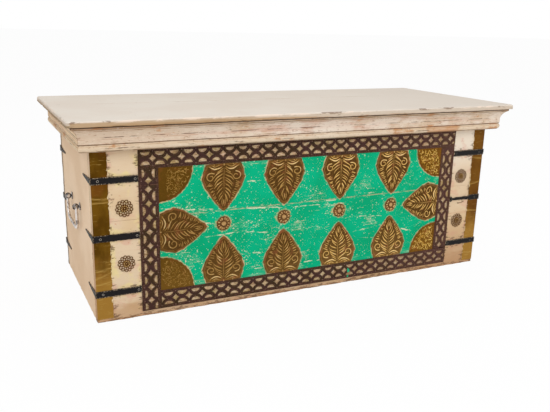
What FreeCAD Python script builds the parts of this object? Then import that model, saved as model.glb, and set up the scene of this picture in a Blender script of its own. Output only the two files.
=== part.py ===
import FreeCAD, Part
import math
import os

# A low storage chest with a hinged lid, a framed front panel and a drop handle at each end.
# Millimetres. X runs along the length, the front faces -Y and Z is up. The origin is on the
# floor, under the middle of the lid.

Vector = FreeCAD.Vector
os.makedirs("parts", exist_ok=True)

# Overall sizes
chest_height = 450.0
carcass_width = 1050.0
carcass_depth = 410.0

# Carcass boards
board_thickness = 22.0
plank_joint_height = 228.0
post_width = 28.0
post_drop = 24.0
cleat_width = 20.0
cleat_height = 12.0
cleat_lift = 3.0
floor_thickness = 14.0

# Lid
lid_thickness = 12.0
lid_lip = 8.0
lid_back_overhang = 15.0
lid_joint_offset = 40.0
lid_corner_radius = 7.0
lid_top_round = 4.5
batten_width = 40.0
batten_thickness = 18.0
batten_inset = 145.0
batten_clearance = 8.0

# Cornice moulding and the rail that closes it behind
cornice_projection = 40.0
cornice_height = 55.0
cornice_fillet = 6.0
cornice_quirk = 1.5
cove_height = 19.0
cove_hollow = 3.0
fascia_projection = 25.5
bead_height = 15.0
bead_bulge = 1.0
bead_return = 15.0
rail_thickness = 12.0

# Brass sheet at the front corners and iron straps at every corner
sheet_thickness = 0.8
brass_strip_width = 36.0
brass_strip_lift = 8.0
strap_thickness = 2.0
strap_height = 15.0
strap_foot_margin = 66.5
strap_cornice_margin = 64.5
side_strap_length = 82.0
side_strap_tip = 3.0

# Pierced iron frame round the painted panel
lattice_thickness = 1.2
lattice_width = 43.5
lattice_side_margin = 99.5
lattice_foot_margin = 12.0
lattice_cornice_gap = 1.5
lattice_pitch = 32.1
lattice_edge_band = 5.5
lattice_disc_radius = 10.0
lattice_disc_chord_count = 4
lattice_star_length = 17.6
lattice_star_width = 19.0
lattice_star_hollow = 1.6
lattice_end_margin = 0.9
left_lattice_lead = 22.4
left_lattice_patch = 37.0
left_lattice_patch_lead = 9.8
bottom_lattice_lead = 1.5
right_lattice_lead = 10.0

# Embossed brass on the panel
leaf_column_count = 4
leaf_gap = 50.2
leaf_flower_gap = 13.25
leaf_relief = 2.6
side_leaf_drop = 3.75
side_leaf_gap = 22.7
fan_leaf_gap = 8.5
fan_chord_count = 6
fan_relief = 2.2
flower_radius = 17.0
flower_petal_count = 8
flower_boss_radius = 6.5
flower_boss_height = 3.0
flower_boss_side_count = 8
rosette_radius = 20.0
rosette_scallop_count = 14
rosette_boss_radius = 13.0
rosette_boss_height = 5.5
rosette_boss_side_count = 12

# Drop handles
handle_height = 227.0
eye_spacing = 108.0
eye_standoff = 10.0
eye_bore = 4.1
eye_wall = 3.4
eye_width = 6.0
eye_side_count = 10
shank_side = 4.6
shank_clearance = 0.1
eye_plate_radius = 8.5
eye_plate_side_count = 8
eye_plate_thickness = 1.4
bail_radius = 3.5
bail_flat_count = 8
bail_end_chord_count = 2
bail_corner_chord_count = 4
bail_end_overhang = 7.0
bail_leg_offset = 9.0
bail_end_bend = 6.0
bail_drop = 52.0
bail_corner_radius = 20.0

# Hinges
hinge_offset = 300.0
hinge_width = 36.0
knuckle_radius = 4.5
knuckle_share = 1 / 3
pin_radius = 2.45
pin_clearance = 0.05
pin_head_radius = 3.6
pin_head_side_count = 8
pin_head_thickness = 1.4
hinge_metal = 2.0
hinge_gap = 0.4
hinge_plate_height = 40.0
hinge_strap_length = 96.0

# How far a cutting shape runs past what it cuts
overrun = 5.0

# Places that follow from the sizes
body_top = chest_height - lid_thickness
half_width = carcass_width / 2
inner_half = half_width - board_thickness
lid_half = half_width + cornice_projection + lid_lip
lid_depth = lid_lip + cornice_projection + carcass_depth + rail_thickness + lid_back_overhang
lid_front = -lid_depth / 2
lid_back = lid_depth / 2
front_face = lid_front + lid_lip + cornice_projection
back_face = front_face + carcass_depth
rail_back = back_face + rail_thickness
inner_front = front_face + board_thickness
inner_back = back_face - board_thickness
floor_underside = cleat_lift + cleat_height
floor_top = floor_underside + floor_thickness
cornice_bottom = body_top - cornice_height

frame_half = half_width - lattice_side_margin
frame_top = cornice_bottom - lattice_cornice_gap
frame_bottom = lattice_foot_margin
panel_half = frame_half - lattice_width
panel_top = frame_top - lattice_width
panel_bottom = frame_bottom + lattice_width
panel_middle = (panel_top + panel_bottom) / 2
side_leaf_height = panel_middle - side_leaf_drop
leaf_length = panel_top - panel_middle - flower_radius - leaf_flower_gap
last_column = panel_half - leaf_length - side_leaf_gap - flower_radius
leaf_spacing = 2 * last_column / (leaf_column_count - 1)
leaf_width = leaf_spacing - leaf_gap
fan_radius = side_leaf_height - panel_bottom - leaf_width / 2 - fan_leaf_gap
brass_inner = half_width - brass_strip_width
strap_top = cornice_bottom - strap_cornice_margin
strap_levels = [strap_foot_margin, (strap_foot_margin + strap_top) / 2, strap_top]
column_places = [step * leaf_spacing - last_column for step in range(leaf_column_count)]

hinge_axis_y = rail_back + hinge_gap + knuckle_radius
hinge_axis_z = body_top + hinge_metal - hinge_gap - knuckle_radius


def block(x, y, z):
    """A box between the low and high value of each axis."""
    corner = Vector(x[0], y[0], z[0])
    return Part.makeBox(x[1] - x[0], y[1] - y[0], z[1] - z[0], corner)


def mirrored(shape):
    """The same shape on the other side of the chest's middle."""
    return shape.mirror(Vector(0, 0, 0), Vector(1, 0, 0))


def save(name, *solids):
    shape = solids[0] if len(solids) == 1 else Part.makeCompound(solids)
    shape.exportStep(f"parts/{name}.step")


def save_pair(stem, left_shape):
    """Writes a left-hand piece and its mirror image."""
    save(f"{stem}_left", left_shape)
    save(f"{stem}_right", mirrored(left_shape))


def closed(points):
    """A closed wire of straight sides through the points."""
    return Part.makePolygon(points + points[:1])


def front_point(x, z):
    """A point on the plane that ornament is drawn on, seen from the front."""
    return Vector(x, 0, z)


def sheet_from(points, thickness):
    """Sheet metal cut to an outline on the ornament plane, standing out towards the front."""
    return Part.Face(closed(points)).extrude(Vector(0, -thickness, 0))


def turn_points(centre, radius, start_angle, end_angle, chords):
    """Pairs along an arc that straight chords stand for, its two ends among them."""
    points = []
    for step in range(chords + 1):
        angle = start_angle + (end_angle - start_angle) * step / chords
        points.append((centre[0] + radius * math.cos(angle), centre[1] + radius * math.sin(angle)))
    return points


def ring_points(centre, radius, count, start_angle=0):
    """Pairs evenly spaced round a circle."""
    return turn_points(centre, radius, start_angle, start_angle + 2 * math.pi, count)[:-1]


def place_on_front(shape, x, z, turn=0):
    """Turns a piece of ornament about its own origin and lays it on the front boards."""
    placed = shape.copy()
    placed.rotate(Vector(0, 0, 0), Vector(0, 1, 0), turn)
    placed.translate(Vector(x, front_face, z))
    return placed


def make_carcass():
    front = (front_face, inner_front)
    back = (inner_back, back_face)
    full = (-half_width, half_width)
    lower = (0, plank_joint_height)
    upper = (plank_joint_height, body_top)
    save("front_plank_lower", block(full, front, lower))
    save("front_plank_upper", block(full, front, upper))
    save("back_plank_lower", block(full, back, lower))
    save("back_plank_upper", block(full, back, upper))

    end_board = block((-half_width, -inner_half), (inner_front, inner_back), (0, body_top))
    for y in eye_places():
        through = (-half_width - overrun, -inner_half + overrun)
        end_board = end_board.cut(shank(through, y, shank_side / 2 + shank_clearance))
    save("left_end_board", end_board)
    save("right_end_board", mirrored(end_board))

    post_x = (-inner_half, -inner_half + post_width)
    post_z = (floor_top, body_top - post_drop)
    front_post = block(post_x, (inner_front, inner_front + post_width), post_z)
    back_post = block(post_x, (inner_back - post_width, inner_back), post_z)
    save_pair("corner_post_front", front_post)
    save_pair("corner_post_back", back_post)


def make_floor():
    inside = (-inner_half, inner_half)
    middle = (inner_front + inner_back) / 2
    cleat_z = (cleat_lift, floor_underside)
    plank_z = (floor_underside, floor_top)
    save("floor_cleat_front", block(inside, (inner_front, inner_front + cleat_width), cleat_z))
    save("floor_cleat_back", block(inside, (inner_back - cleat_width, inner_back), cleat_z))
    save("bottom_plank_front", block(inside, (inner_front, middle), plank_z))
    save("bottom_plank_back", block(inside, (middle, inner_back), plank_z))


def cornice_section(place):
    """The moulding's section. place turns a projection and a height into a point."""
    top = body_top
    cove_top = top - cornice_fillet
    cove_foot = cove_top - cove_height
    bead_top = cornice_bottom + bead_height
    cove_edge = cornice_projection - cornice_quirk
    groove = fascia_projection - cornice_quirk
    cove_middle = place((cove_edge + fascia_projection) / 2 - cove_hollow, (cove_top + cove_foot) / 2)
    bead_middle = place(fascia_projection + bead_bulge, cornice_bottom + bead_height / 2)
    before_cove = [(0, top), (cornice_projection, top), (cornice_projection, cove_top), (cove_edge, cove_top)]
    after_cove = [(fascia_projection, cove_foot), (fascia_projection, bead_top + cornice_quirk),
                  (groove, bead_top + cornice_quirk), (groove, bead_top)]
    after_bead = [(bead_return, cornice_bottom), (0, cornice_bottom), (0, top)]
    upper = Part.makePolygon([place(*point) for point in before_cove])
    cove = Part.Arc(place(*before_cove[-1]), cove_middle, place(*after_cove[0])).toShape()
    fascia = Part.makePolygon([place(*point) for point in after_cove])
    bead = Part.Arc(place(*after_cove[-1]), bead_middle, place(*after_bead[0])).toShape()
    lower = Part.makePolygon([place(*point) for point in after_bead])
    return Part.Face(Part.Wire(upper.Edges + [cove] + fascia.Edges + [bead] + lower.Edges))


def mitre_wedge(x_side):
    """The triangle beyond a front corner, on the front moulding's or the side moulding's half."""
    reach = cornice_projection + overrun
    corner = Vector(-half_width, front_face, cornice_bottom - overrun)
    tip = corner + Vector(-reach, -reach, 0)
    third = corner + (Vector(-reach, 0, 0) if x_side else Vector(0, -reach, 0))
    triangle = Part.Face(closed([corner, tip, third]))
    return triangle.extrude(Vector(0, 0, cornice_height + 2 * overrun))


def make_cornice():
    reach = half_width + cornice_projection
    front = cornice_section(lambda out, z: Vector(-reach, front_face - out, z))
    front = front.extrude(Vector(2 * reach, 0, 0))
    cut_off = mitre_wedge(True)
    front = front.cut(cut_off).cut(mirrored(cut_off))
    save("cornice_front", front)

    start = front_face - cornice_projection
    side = cornice_section(lambda out, z: Vector(-half_width - out, start, z))
    side = side.extrude(Vector(0, rail_back - start, 0)).cut(mitre_wedge(False))
    below = block((-half_width, half_width), (start - overrun, front_face), (cornice_bottom, body_top))
    side = side.cut(below)
    save_pair("cornice", side)

    rail_x = (-half_width, half_width)
    save("back_rail", block(rail_x, (back_face, rail_back), (cornice_bottom, body_top)))


def make_corner_metal():
    brass_x = (-half_width, -brass_inner)
    brass_y = (front_face - sheet_thickness, front_face)
    brass = block(brass_x, brass_y, (brass_strip_lift, cornice_bottom))
    save_pair("brass_strip", brass)

    outer_x = -half_width - strap_thickness
    front_straps = []
    back_straps = []
    for level in strap_levels:
        low = level - strap_height / 2
        high = level + strap_height / 2
        over_brass = (front_face - sheet_thickness - strap_thickness, front_face - sheet_thickness)
        on_wood = (front_face - sheet_thickness, front_face)
        front_leg = block((outer_x, -frame_half), over_brass, (low, high))
        foot = block((-brass_inner, -frame_half), on_wood, (low, high))
        corner = block((outer_x, -half_width), on_wood, (low, high))
        front_leg = front_leg.fuse([foot, corner, side_strap(level, front_face, 1)])
        front_straps.append(front_leg.removeSplitter())

        behind = (back_face, back_face + strap_thickness)
        back_leg = block((outer_x, -frame_half), behind, (low, high))
        back_leg = back_leg.fuse(side_strap(level, back_face, -1))
        back_straps.append(back_leg.removeSplitter())
    front_group = Part.makeCompound(front_straps)
    back_group = Part.makeCompound(back_straps)
    save_pair("corner_straps_front", front_group)
    save_pair("corner_straps_back", back_group)


def side_strap(level, corner_y, direction):
    """The leg of a strap that lies on the chest's end and tapers away from the corner."""
    x = -half_width - strap_thickness
    tip_y = corner_y + direction * side_strap_length
    root = strap_height / 2
    tip = side_strap_tip / 2
    points = [(corner_y, level - root), (tip_y, level - tip), (tip_y, level + tip), (corner_y, level + root)]
    leg = Part.Face(closed([Vector(x, y, z) for y, z in points]))
    return leg.extrude(Vector(strap_thickness, 0, 0))


def lattice_places(start, end, lead):
    """Places of the stars and of the discs on a stretch whose first star lies at the lead."""
    stars = []
    discs = []
    step = start + lead % lattice_pitch - lattice_pitch
    while step < end:
        stars.append(step)
        discs.append(step + lattice_pitch / 2)
        step += lattice_pitch
    star_reach = lattice_star_length / 2 + lattice_end_margin
    disc_reach = lattice_disc_radius + lattice_end_margin
    stars = [place for place in stars if start + star_reach <= place <= end - star_reach]
    discs = [place for place in discs if start + disc_reach <= place <= end - disc_reach]
    return stars, discs


def half_disc(middle, side):
    """The outline of a half disc whose flat lies along one edge of a strip."""
    sill = side * (lattice_width / 2 - lattice_edge_band)
    arc = turn_points((middle, sill), lattice_disc_radius, 0, -side * math.pi, lattice_disc_chord_count)
    return [front_point(*point) for point in arc]


def star(middle):
    """The outline of a four-pointed star with hollow sides."""
    tips = [front_point(middle + lattice_star_length / 2, 0), front_point(middle, lattice_star_width / 2),
            front_point(middle - lattice_star_length / 2, 0), front_point(middle, -lattice_star_width / 2)]
    centre = front_point(middle, 0)
    outline = []
    for tip, following in zip(tips, tips[1:] + tips[:1]):
        side_middle = (tip + following) * 0.5
        inward = (centre - side_middle).normalize()
        outline += [tip, side_middle + inward * lattice_star_hollow]
    return outline


def lattice_strip(length, lead, patch=0, patch_lead=0):
    """A pierced strip along X from the origin: four-pointed stars between pairs of half discs.

    A patch is a shorter length of the same strip at the far end, where the pattern starts anew.
    """
    stars, discs = lattice_places(0, length - patch, lead)
    patch_stars, patch_discs = lattice_places(length - patch, length, patch_lead)
    stars += patch_stars
    discs += patch_discs
    half = lattice_width / 2
    corners = [front_point(0, half), front_point(length, half),
               front_point(length, -half), front_point(0, -half)]
    holes = [half_disc(middle, side) for middle in discs for side in (-1, 1)]
    holes += [star(middle) for middle in stars]
    plate = sheet_from(corners, lattice_thickness)
    return plate.cut(Part.makeCompound([sheet_from(hole, lattice_thickness) for hole in holes]))


def make_lattice():
    half = lattice_width / 2
    top = lattice_strip(2 * frame_half, 0)
    save("lattice_top", place_on_front(top, -frame_half, frame_top - half))
    left_length = panel_top - frame_bottom
    left = lattice_strip(left_length, left_lattice_lead, left_lattice_patch, left_lattice_patch_lead)
    save("lattice_left", place_on_front(left, -frame_half + half, frame_bottom, -90))
    bottom = lattice_strip(frame_half + panel_half, bottom_lattice_lead)
    save("lattice_bottom", place_on_front(bottom, -panel_half, frame_bottom + half))
    right = lattice_strip(panel_top - panel_bottom, right_lattice_lead)
    save("lattice_right", place_on_front(right, frame_half - half, panel_bottom, -90))


def raised_lobe(start, end, half_breadth, height, base):
    """A chased lobe: a four-sided swelling between two points of the ornament plane."""
    along = end - start
    middle = (start + end) * 0.5
    across = Vector(-along.z, 0, along.x).normalize() * half_breadth
    lift = Vector(0, -base, 0)
    ring = [start + lift, middle + across + lift, end + lift, middle - across + lift]
    crown = middle + Vector(0, -base - height, 0)
    sides = [Part.Face(closed([near, far, crown])) for near, far in zip(ring, ring[1:] + ring[:1])]
    sides.append(Part.Face(closed(ring)))
    return Part.makeSolid(Part.makeShell(sides))


# The leaf's right-hand outline from base to tip, as shares of its half width and its length
leaf_outline_shares = [(0.82, 0.0), (1.0, 0.33), (0.68, 0.61), (0.30, 0.86)]
leaf_lobe_pair_count = 5
leaf_lobe_root_shares = (0.10, 0.66)
leaf_lobe_tip_shares = (0.06, 0.78)
leaf_lobe_reach_share = 0.84
leaf_lobe_breadth_share = 0.065
leaf_stem_shares = (0.04, 0.74)
leaf_bud_shares = (0.77, 0.97)
leaf_stem_breadth_share = 0.035
leaf_bud_breadth_share = 0.06


def leaf_half_width(share):
    """Half the leaf's width at a share of its length, read off the straight-sided outline."""
    points = leaf_outline_shares + [(0.0, 1.0)]
    for near, far in zip(points, points[1:]):
        if share <= far[1]:
            blend = (share - near[1]) / (far[1] - near[1])
            return (near[0] + blend * (far[0] - near[0])) * leaf_width / 2
    return 0


def leaf_point(across, share):
    return front_point(across, -share * leaf_length)


def make_leaf():
    """An embossed leaf that hangs from the origin with its tip down."""
    right = [leaf_point(wide * leaf_width / 2, down) for wide, down in leaf_outline_shares]
    left = [leaf_point(-wide * leaf_width / 2, down) for wide, down in reversed(leaf_outline_shares)]
    outline = right + [leaf_point(0, 1)] + left
    base = sheet_thickness / 2
    lobes = [
        raised_lobe(leaf_point(0, leaf_stem_shares[0]), leaf_point(0, leaf_stem_shares[1]),
                    leaf_stem_breadth_share * leaf_width, leaf_relief, base),
        raised_lobe(leaf_point(0, leaf_bud_shares[0]), leaf_point(0, leaf_bud_shares[1]),
                    leaf_bud_breadth_share * leaf_width, leaf_relief, base),
    ]
    clear = leaf_stem_breadth_share * leaf_width
    breadth = leaf_lobe_breadth_share * leaf_length / 2
    for step in range(leaf_lobe_pair_count):
        blend = step / (leaf_lobe_pair_count - 1)
        root = leaf_lobe_root_shares[0] + blend * (leaf_lobe_root_shares[1] - leaf_lobe_root_shares[0])
        tip = leaf_lobe_tip_shares[0] + blend * (leaf_lobe_tip_shares[1] - leaf_lobe_tip_shares[0])
        reach = leaf_half_width(tip) * leaf_lobe_reach_share
        for side in (-1, 1):
            start = leaf_point(side * clear, root)
            end = leaf_point(side * reach, tip)
            lobes.append(raised_lobe(start, end, breadth, leaf_relief, base))
    return sheet_from(outline, sheet_thickness).fuse(lobes).removeSplitter()


fan_lobe_count = 5
fan_lobe_root_share = 0.30
fan_lobe_tip_share = 0.90
fan_lobe_breadth_share = 0.07
fan_lobe_angles = (9, 81)


def make_fan():
    """A quarter round that fills the panel's top left corner, its corner at the origin."""
    arc = turn_points((0, 0), fan_radius, 0, -math.pi / 2, fan_chord_count)
    outline = [front_point(0, 0)] + [front_point(*point) for point in arc]
    lobes = []
    for step in range(fan_lobe_count):
        blend = step / (fan_lobe_count - 1)
        angle = math.radians(fan_lobe_angles[0] + blend * (fan_lobe_angles[1] - fan_lobe_angles[0]))
        ray = front_point(math.cos(angle), -math.sin(angle)) * fan_radius
        lobes.append(raised_lobe(ray * fan_lobe_root_share, ray * fan_lobe_tip_share,
                                 fan_lobe_breadth_share * fan_radius, fan_relief, sheet_thickness / 2))
    return sheet_from(outline, sheet_thickness).fuse(lobes).removeSplitter()


# A boss narrows in rings, each a share of its radius at a share of its height
boss_ring_shares = [(1.0, 0.0), (0.74, 0.68)]


def boss(radius, height, sides):
    """A faceted dome that stands on a scalloped disc, towards the front."""
    rings = []
    for spread, rise in boss_ring_shares:
        lift = Vector(0, -sheet_thickness - height * rise, 0)
        ring = ring_points((0, 0), radius * spread, sides)
        rings.append(closed([front_point(*point) + lift for point in ring]))
    crown = Part.Vertex(0, -sheet_thickness - height, 0)
    return Part.makeLoft(rings + [crown], True, True)


# How deep the notches between scallops reach, as a share of the disc's radius
scallop_notch_share = 0.12


def scalloped_disc(radius, count):
    outline = []
    for index, point in enumerate(ring_points((0, 0), radius, 2 * count)):
        reach = 1 if index % 2 == 0 else 1 - scallop_notch_share
        outline.append(front_point(*point) * reach)
    return sheet_from(outline, sheet_thickness)


def make_rosette():
    disc = scalloped_disc(rosette_radius, rosette_scallop_count)
    return disc.fuse(boss(rosette_boss_radius, rosette_boss_height, rosette_boss_side_count)).removeSplitter()


def make_flower():
    disc = scalloped_disc(flower_radius, flower_petal_count)
    return disc.fuse(boss(flower_boss_radius, flower_boss_height, flower_boss_side_count)).removeSplitter()


def make_ornament():
    leaf = make_leaf()
    for index, x in enumerate(column_places):
        save(f"leaf_top_{index + 1}", place_on_front(leaf, x, panel_top))
        save(f"leaf_bottom_{index + 1}", place_on_front(leaf, x, panel_bottom, 180))
    save("leaf_side_left", place_on_front(leaf, -panel_half, side_leaf_height, -90))
    save("leaf_side_right", place_on_front(leaf, panel_half, side_leaf_height, 90))

    fan = make_fan()
    save("quarter_fan_top_left", place_on_front(fan, -panel_half, panel_top))
    save("quarter_fan_top_right", place_on_front(fan, panel_half, panel_top, 90))
    save("quarter_fan_bottom_right", place_on_front(fan, panel_half, panel_bottom, 180))
    save("quarter_fan_bottom_left", place_on_front(fan, -panel_half, panel_bottom, 270))

    flower = make_flower()
    save("panel_flowers", *[place_on_front(flower, x, panel_middle) for x in column_places])

    rosette = make_rosette()
    rosette_x = (brass_inner + frame_half) / 2
    between_straps = [(low + high) / 2 for low, high in zip(strap_levels, strap_levels[1:])]
    bosses = [place_on_front(rosette, side * rosette_x, z) for side in (-1, 1) for z in between_straps]
    save("corner_rosettes", *bosses)


def eye_places():
    middle = (front_face + back_face) / 2
    return [middle - eye_spacing / 2, middle + eye_spacing / 2]


def shank(x, y, half_side):
    """A square bar along X through the left end board."""
    return block(x, (y - half_side, y + half_side), (handle_height - half_side, handle_height + half_side))


def make_handle_eye(y):
    """An eye on the left end: a ring, its plate, and a shank riveted over inside the board."""
    ring_x = -half_width - eye_standoff
    ring_y = y - eye_width / 2
    around = ring_points((ring_x, handle_height), eye_bore + eye_wall, eye_side_count)
    ring = Part.Face(closed([Vector(corner_x, ring_y, corner_z) for corner_x, corner_z in around]))
    ring = ring.extrude(Vector(0, eye_width, 0))
    stem = shank((ring_x, -inner_half + eye_plate_thickness), y, shank_side / 2)
    plates = []
    for x in (-half_width - eye_plate_thickness, -inner_half):
        corners = ring_points((y, handle_height), eye_plate_radius, eye_plate_side_count)
        plate = Part.Face(closed([Vector(x, corner_y, corner_z) for corner_y, corner_z in corners]))
        plates.append(plate.extrude(Vector(eye_plate_thickness, 0, 0)))
    bore_start = Vector(ring_x, ring_y - overrun, handle_height)
    bore = Part.makeCylinder(eye_bore, eye_width + 2 * overrun, bore_start, Vector(0, 1, 0))
    return ring.fuse([stem] + plates).cut(bore).removeSplitter()


def make_bail():
    """The left bail: a flatted bar bent to a rounded loop, its ends turned in through the eyes."""
    x = -half_width - eye_standoff
    middle = (front_face + back_face) / 2
    leg = eye_spacing / 2 + bail_leg_offset
    end = eye_spacing / 2 - bail_end_overhang

    def at(across, down):
        return Vector(x, middle + across, handle_height - down)

    end_centre = (leg - bail_end_bend, bail_end_bend)
    end_turn = turn_points(end_centre, bail_end_bend, -math.pi / 2, 0, bail_end_chord_count)
    corner_centre = (leg - bail_corner_radius, bail_drop - bail_corner_radius)
    corner_turn = turn_points(corner_centre, bail_corner_radius, 0, math.pi / 2, bail_corner_chord_count)
    half = [(end, 0)] + end_turn + corner_turn
    far_half = [(-across, down) for across, down in reversed(half)]
    path = Part.makePolygon([at(across, down) for across, down in half + far_half])

    flat = math.pi / bail_flat_count
    ring = ring_points((x, handle_height), bail_radius, bail_flat_count, flat)
    section = closed([Vector(ring_x, middle + end, ring_z) for ring_x, ring_z in ring])
    return path.makePipeShell([section], True, False, 1)


def make_handles():
    left_eyes = [make_handle_eye(y) for y in eye_places()]
    save("handle_eyes", *left_eyes, *[mirrored(eye) for eye in left_eyes])
    save_pair("bail", make_bail())


def make_lid():
    lid = block((-lid_half, lid_half), (lid_front, lid_back), (body_top, chest_height))
    upright = [edge for edge in lid.Edges if edge.BoundBox.ZLength > lid_thickness / 2]
    lid = lid.makeFillet(lid_corner_radius, upright)
    rim = [edge for edge in lid.Edges if edge.BoundBox.ZMin > chest_height - lid_thickness / 2]
    lid = lid.makeFillet(lid_top_round, rim)
    recess_z = (body_top - overrun, body_top + hinge_metal)
    strap_front = rail_back - hinge_strap_length
    recess_half = hinge_width / 2 + pin_head_thickness + hinge_gap
    for side in (-1, 1):
        middle = side * hinge_offset
        recess_x = (middle - recess_half, middle + recess_half)
        lid = lid.cut(block(recess_x, (strap_front - hinge_gap, lid_back + overrun), recess_z))
    beyond_x = (-lid_half - overrun, lid_half + overrun)
    beyond_z = (body_top - overrun, chest_height + overrun)
    back_half = block(beyond_x, (lid_joint_offset, lid_back + overrun), beyond_z)
    save("lid_plank_front", lid.cut(back_half))
    save("lid_plank_back", lid.common(back_half))

    batten_x = half_width - batten_inset
    batten = block((-batten_x - batten_width / 2, -batten_x + batten_width / 2),
                   (inner_front + batten_clearance, inner_back - batten_clearance),
                   (body_top - batten_thickness, body_top))
    save_pair("lid_batten", batten)


def along_hinge(radius, start_x, end_x):
    start = Vector(start_x, hinge_axis_y, hinge_axis_z)
    return Part.makeCylinder(radius, end_x - start_x, start, Vector(1, 0, 0))


def make_hinges():
    low = -hinge_offset - hinge_width / 2
    high = -hinge_offset + hinge_width / 2
    knuckle = hinge_width * knuckle_share
    first = low + knuckle
    last = high - knuckle
    bore = along_hinge(pin_radius + pin_clearance, low - overrun, high + overrun)

    tongue_x = (first + hinge_gap, last - hinge_gap)
    strap_z = (body_top, body_top + hinge_metal)
    strap = block((low, high), (rail_back - hinge_strap_length, rail_back), strap_z)
    tongue = block(tongue_x, (rail_back, hinge_axis_y), strap_z)
    strap = strap.fuse([tongue, along_hinge(knuckle_radius, *tongue_x)]).cut(bore)
    strap = strap.removeSplitter()
    save("hinge_straps", strap, mirrored(strap))

    plate_y = (rail_back, rail_back + hinge_metal)
    plate_z = (hinge_axis_z - hinge_plate_height, hinge_axis_z)
    plate = block((low, high), plate_y, plate_z)
    notch_z = (hinge_axis_z - knuckle_radius - hinge_gap, hinge_axis_z + overrun)
    notch = block((first, last), (rail_back - overrun, rail_back + overrun), notch_z)
    outer_knuckles = [along_hinge(knuckle_radius, low, first), along_hinge(knuckle_radius, last, high)]
    plate = plate.cut(notch).fuse(outer_knuckles).cut(bore)
    plate = plate.removeSplitter()
    save("hinge_plates", plate, mirrored(plate))

    pin = along_hinge(pin_radius, low, high)
    head = ring_points((hinge_axis_y, hinge_axis_z), pin_head_radius, pin_head_side_count)
    heads = []
    for x in (low - pin_head_thickness, high):
        face = Part.Face(closed([Vector(x, y, z) for y, z in head]))
        heads.append(face.extrude(Vector(pin_head_thickness, 0, 0)))
    pin = pin.fuse(heads).removeSplitter()
    save("hinge_pins", pin, mirrored(pin))


make_carcass()
make_floor()
make_cornice()
make_corner_metal()
make_lattice()
make_ornament()
make_handles()
make_lid()
make_hinges()
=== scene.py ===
import math
import random

import bmesh
import bpy
from mathutils import Matrix, Vector, noise


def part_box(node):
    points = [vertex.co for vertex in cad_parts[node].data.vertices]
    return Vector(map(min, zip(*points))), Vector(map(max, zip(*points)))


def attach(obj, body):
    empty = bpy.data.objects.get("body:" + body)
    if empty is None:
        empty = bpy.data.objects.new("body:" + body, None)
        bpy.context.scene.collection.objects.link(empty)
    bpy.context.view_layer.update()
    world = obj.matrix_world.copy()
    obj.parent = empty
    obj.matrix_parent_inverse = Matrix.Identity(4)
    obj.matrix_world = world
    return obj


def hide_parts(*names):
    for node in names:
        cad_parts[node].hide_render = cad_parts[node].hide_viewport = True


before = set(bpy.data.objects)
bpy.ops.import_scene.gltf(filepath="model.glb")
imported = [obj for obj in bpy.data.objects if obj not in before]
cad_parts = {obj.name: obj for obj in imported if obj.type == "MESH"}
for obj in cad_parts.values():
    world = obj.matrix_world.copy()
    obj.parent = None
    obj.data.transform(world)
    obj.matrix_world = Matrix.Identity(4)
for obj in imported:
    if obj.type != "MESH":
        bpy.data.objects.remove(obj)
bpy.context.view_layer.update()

# A dowry chest in lime-washed wood with a green front panel, pierced iron trim and embossed brass.
# Lengths are in metres, so sizes are written as a number of millimetres times mm.
mm = 0.001
# The noise's vectors would otherwise differ from run to run
random.seed(11)
noise.seed_set(11)


# Places read from the solids, as low and high corners
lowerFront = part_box("front_plank_lower")
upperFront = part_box("front_plank_upper")
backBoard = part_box("back_plank_lower")
frontFace = lowerFront[0].y
backFace = backBoard[1].y
boardThickness = lowerFront[1].y - lowerFront[0].y
chestHalf = lowerFront[1].x
jointHeight = lowerFront[1].z
bodyTop = upperFront[1].z
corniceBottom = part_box("back_rail")[0].z
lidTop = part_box("lid_plank_front")[1].z
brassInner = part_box("brass_strip_right")[0].x
strapLow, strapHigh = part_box("corner_straps_front_right")
strapHeight = 15 * mm
strapLevels = [strapLow.z + strapHeight / 2, (strapLow.z + strapHigh.z) / 2, strapHigh.z - strapHeight / 2]
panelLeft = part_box("lattice_left")[1].x
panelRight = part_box("lattice_right")[0].x
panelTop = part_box("lattice_top")[0].z
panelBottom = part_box("lattice_bottom")[1].z
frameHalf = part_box("lattice_top")[1].x
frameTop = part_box("lattice_top")[1].z
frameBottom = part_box("lattice_bottom")[0].z
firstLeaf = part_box("leaf_top_1")
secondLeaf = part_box("leaf_top_2")
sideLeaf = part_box("leaf_side_right")
leafSpacing = secondLeaf[0].x - firstLeaf[0].x
leafWidth = firstLeaf[1].x - firstLeaf[0].x
leafLength = firstLeaf[1].z - firstLeaf[0].z
sideLeafHeight = (sideLeaf[0].z + sideLeaf[1].z) / 2
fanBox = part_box("quarter_fan_top_left")
fanRadius = fanBox[1].z - fanBox[0].z
columnPlaces = [sum(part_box(f"leaf_top_{index}")[side].x for side in (0, 1)) / 2 for index in (1, 2, 3, 4)]
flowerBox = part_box("panel_flowers")
flowerRadius = (flowerBox[1].z - flowerBox[0].z) / 2
flowerHeight = (flowerBox[1].z + flowerBox[0].z) / 2


camera = {"place": (-753.5 * mm, -1538.2 * mm, 637.5 * mm),
          "turn": (1.30146, -0.02299, -0.44566),
          "lens": 42.815, "sensor": 36}


def setCamera():
    eye = bpy.data.cameras.new("camera")
    eye.lens = camera["lens"]
    eye.sensor_width = camera["sensor"]
    eye.sensor_fit = "HORIZONTAL"
    holder = bpy.data.objects.new("camera", eye)
    holder.location = camera["place"]
    holder.rotation_euler = camera["turn"]
    bpy.context.scene.collection.objects.link(holder)
    bpy.context.scene.camera = holder


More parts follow.
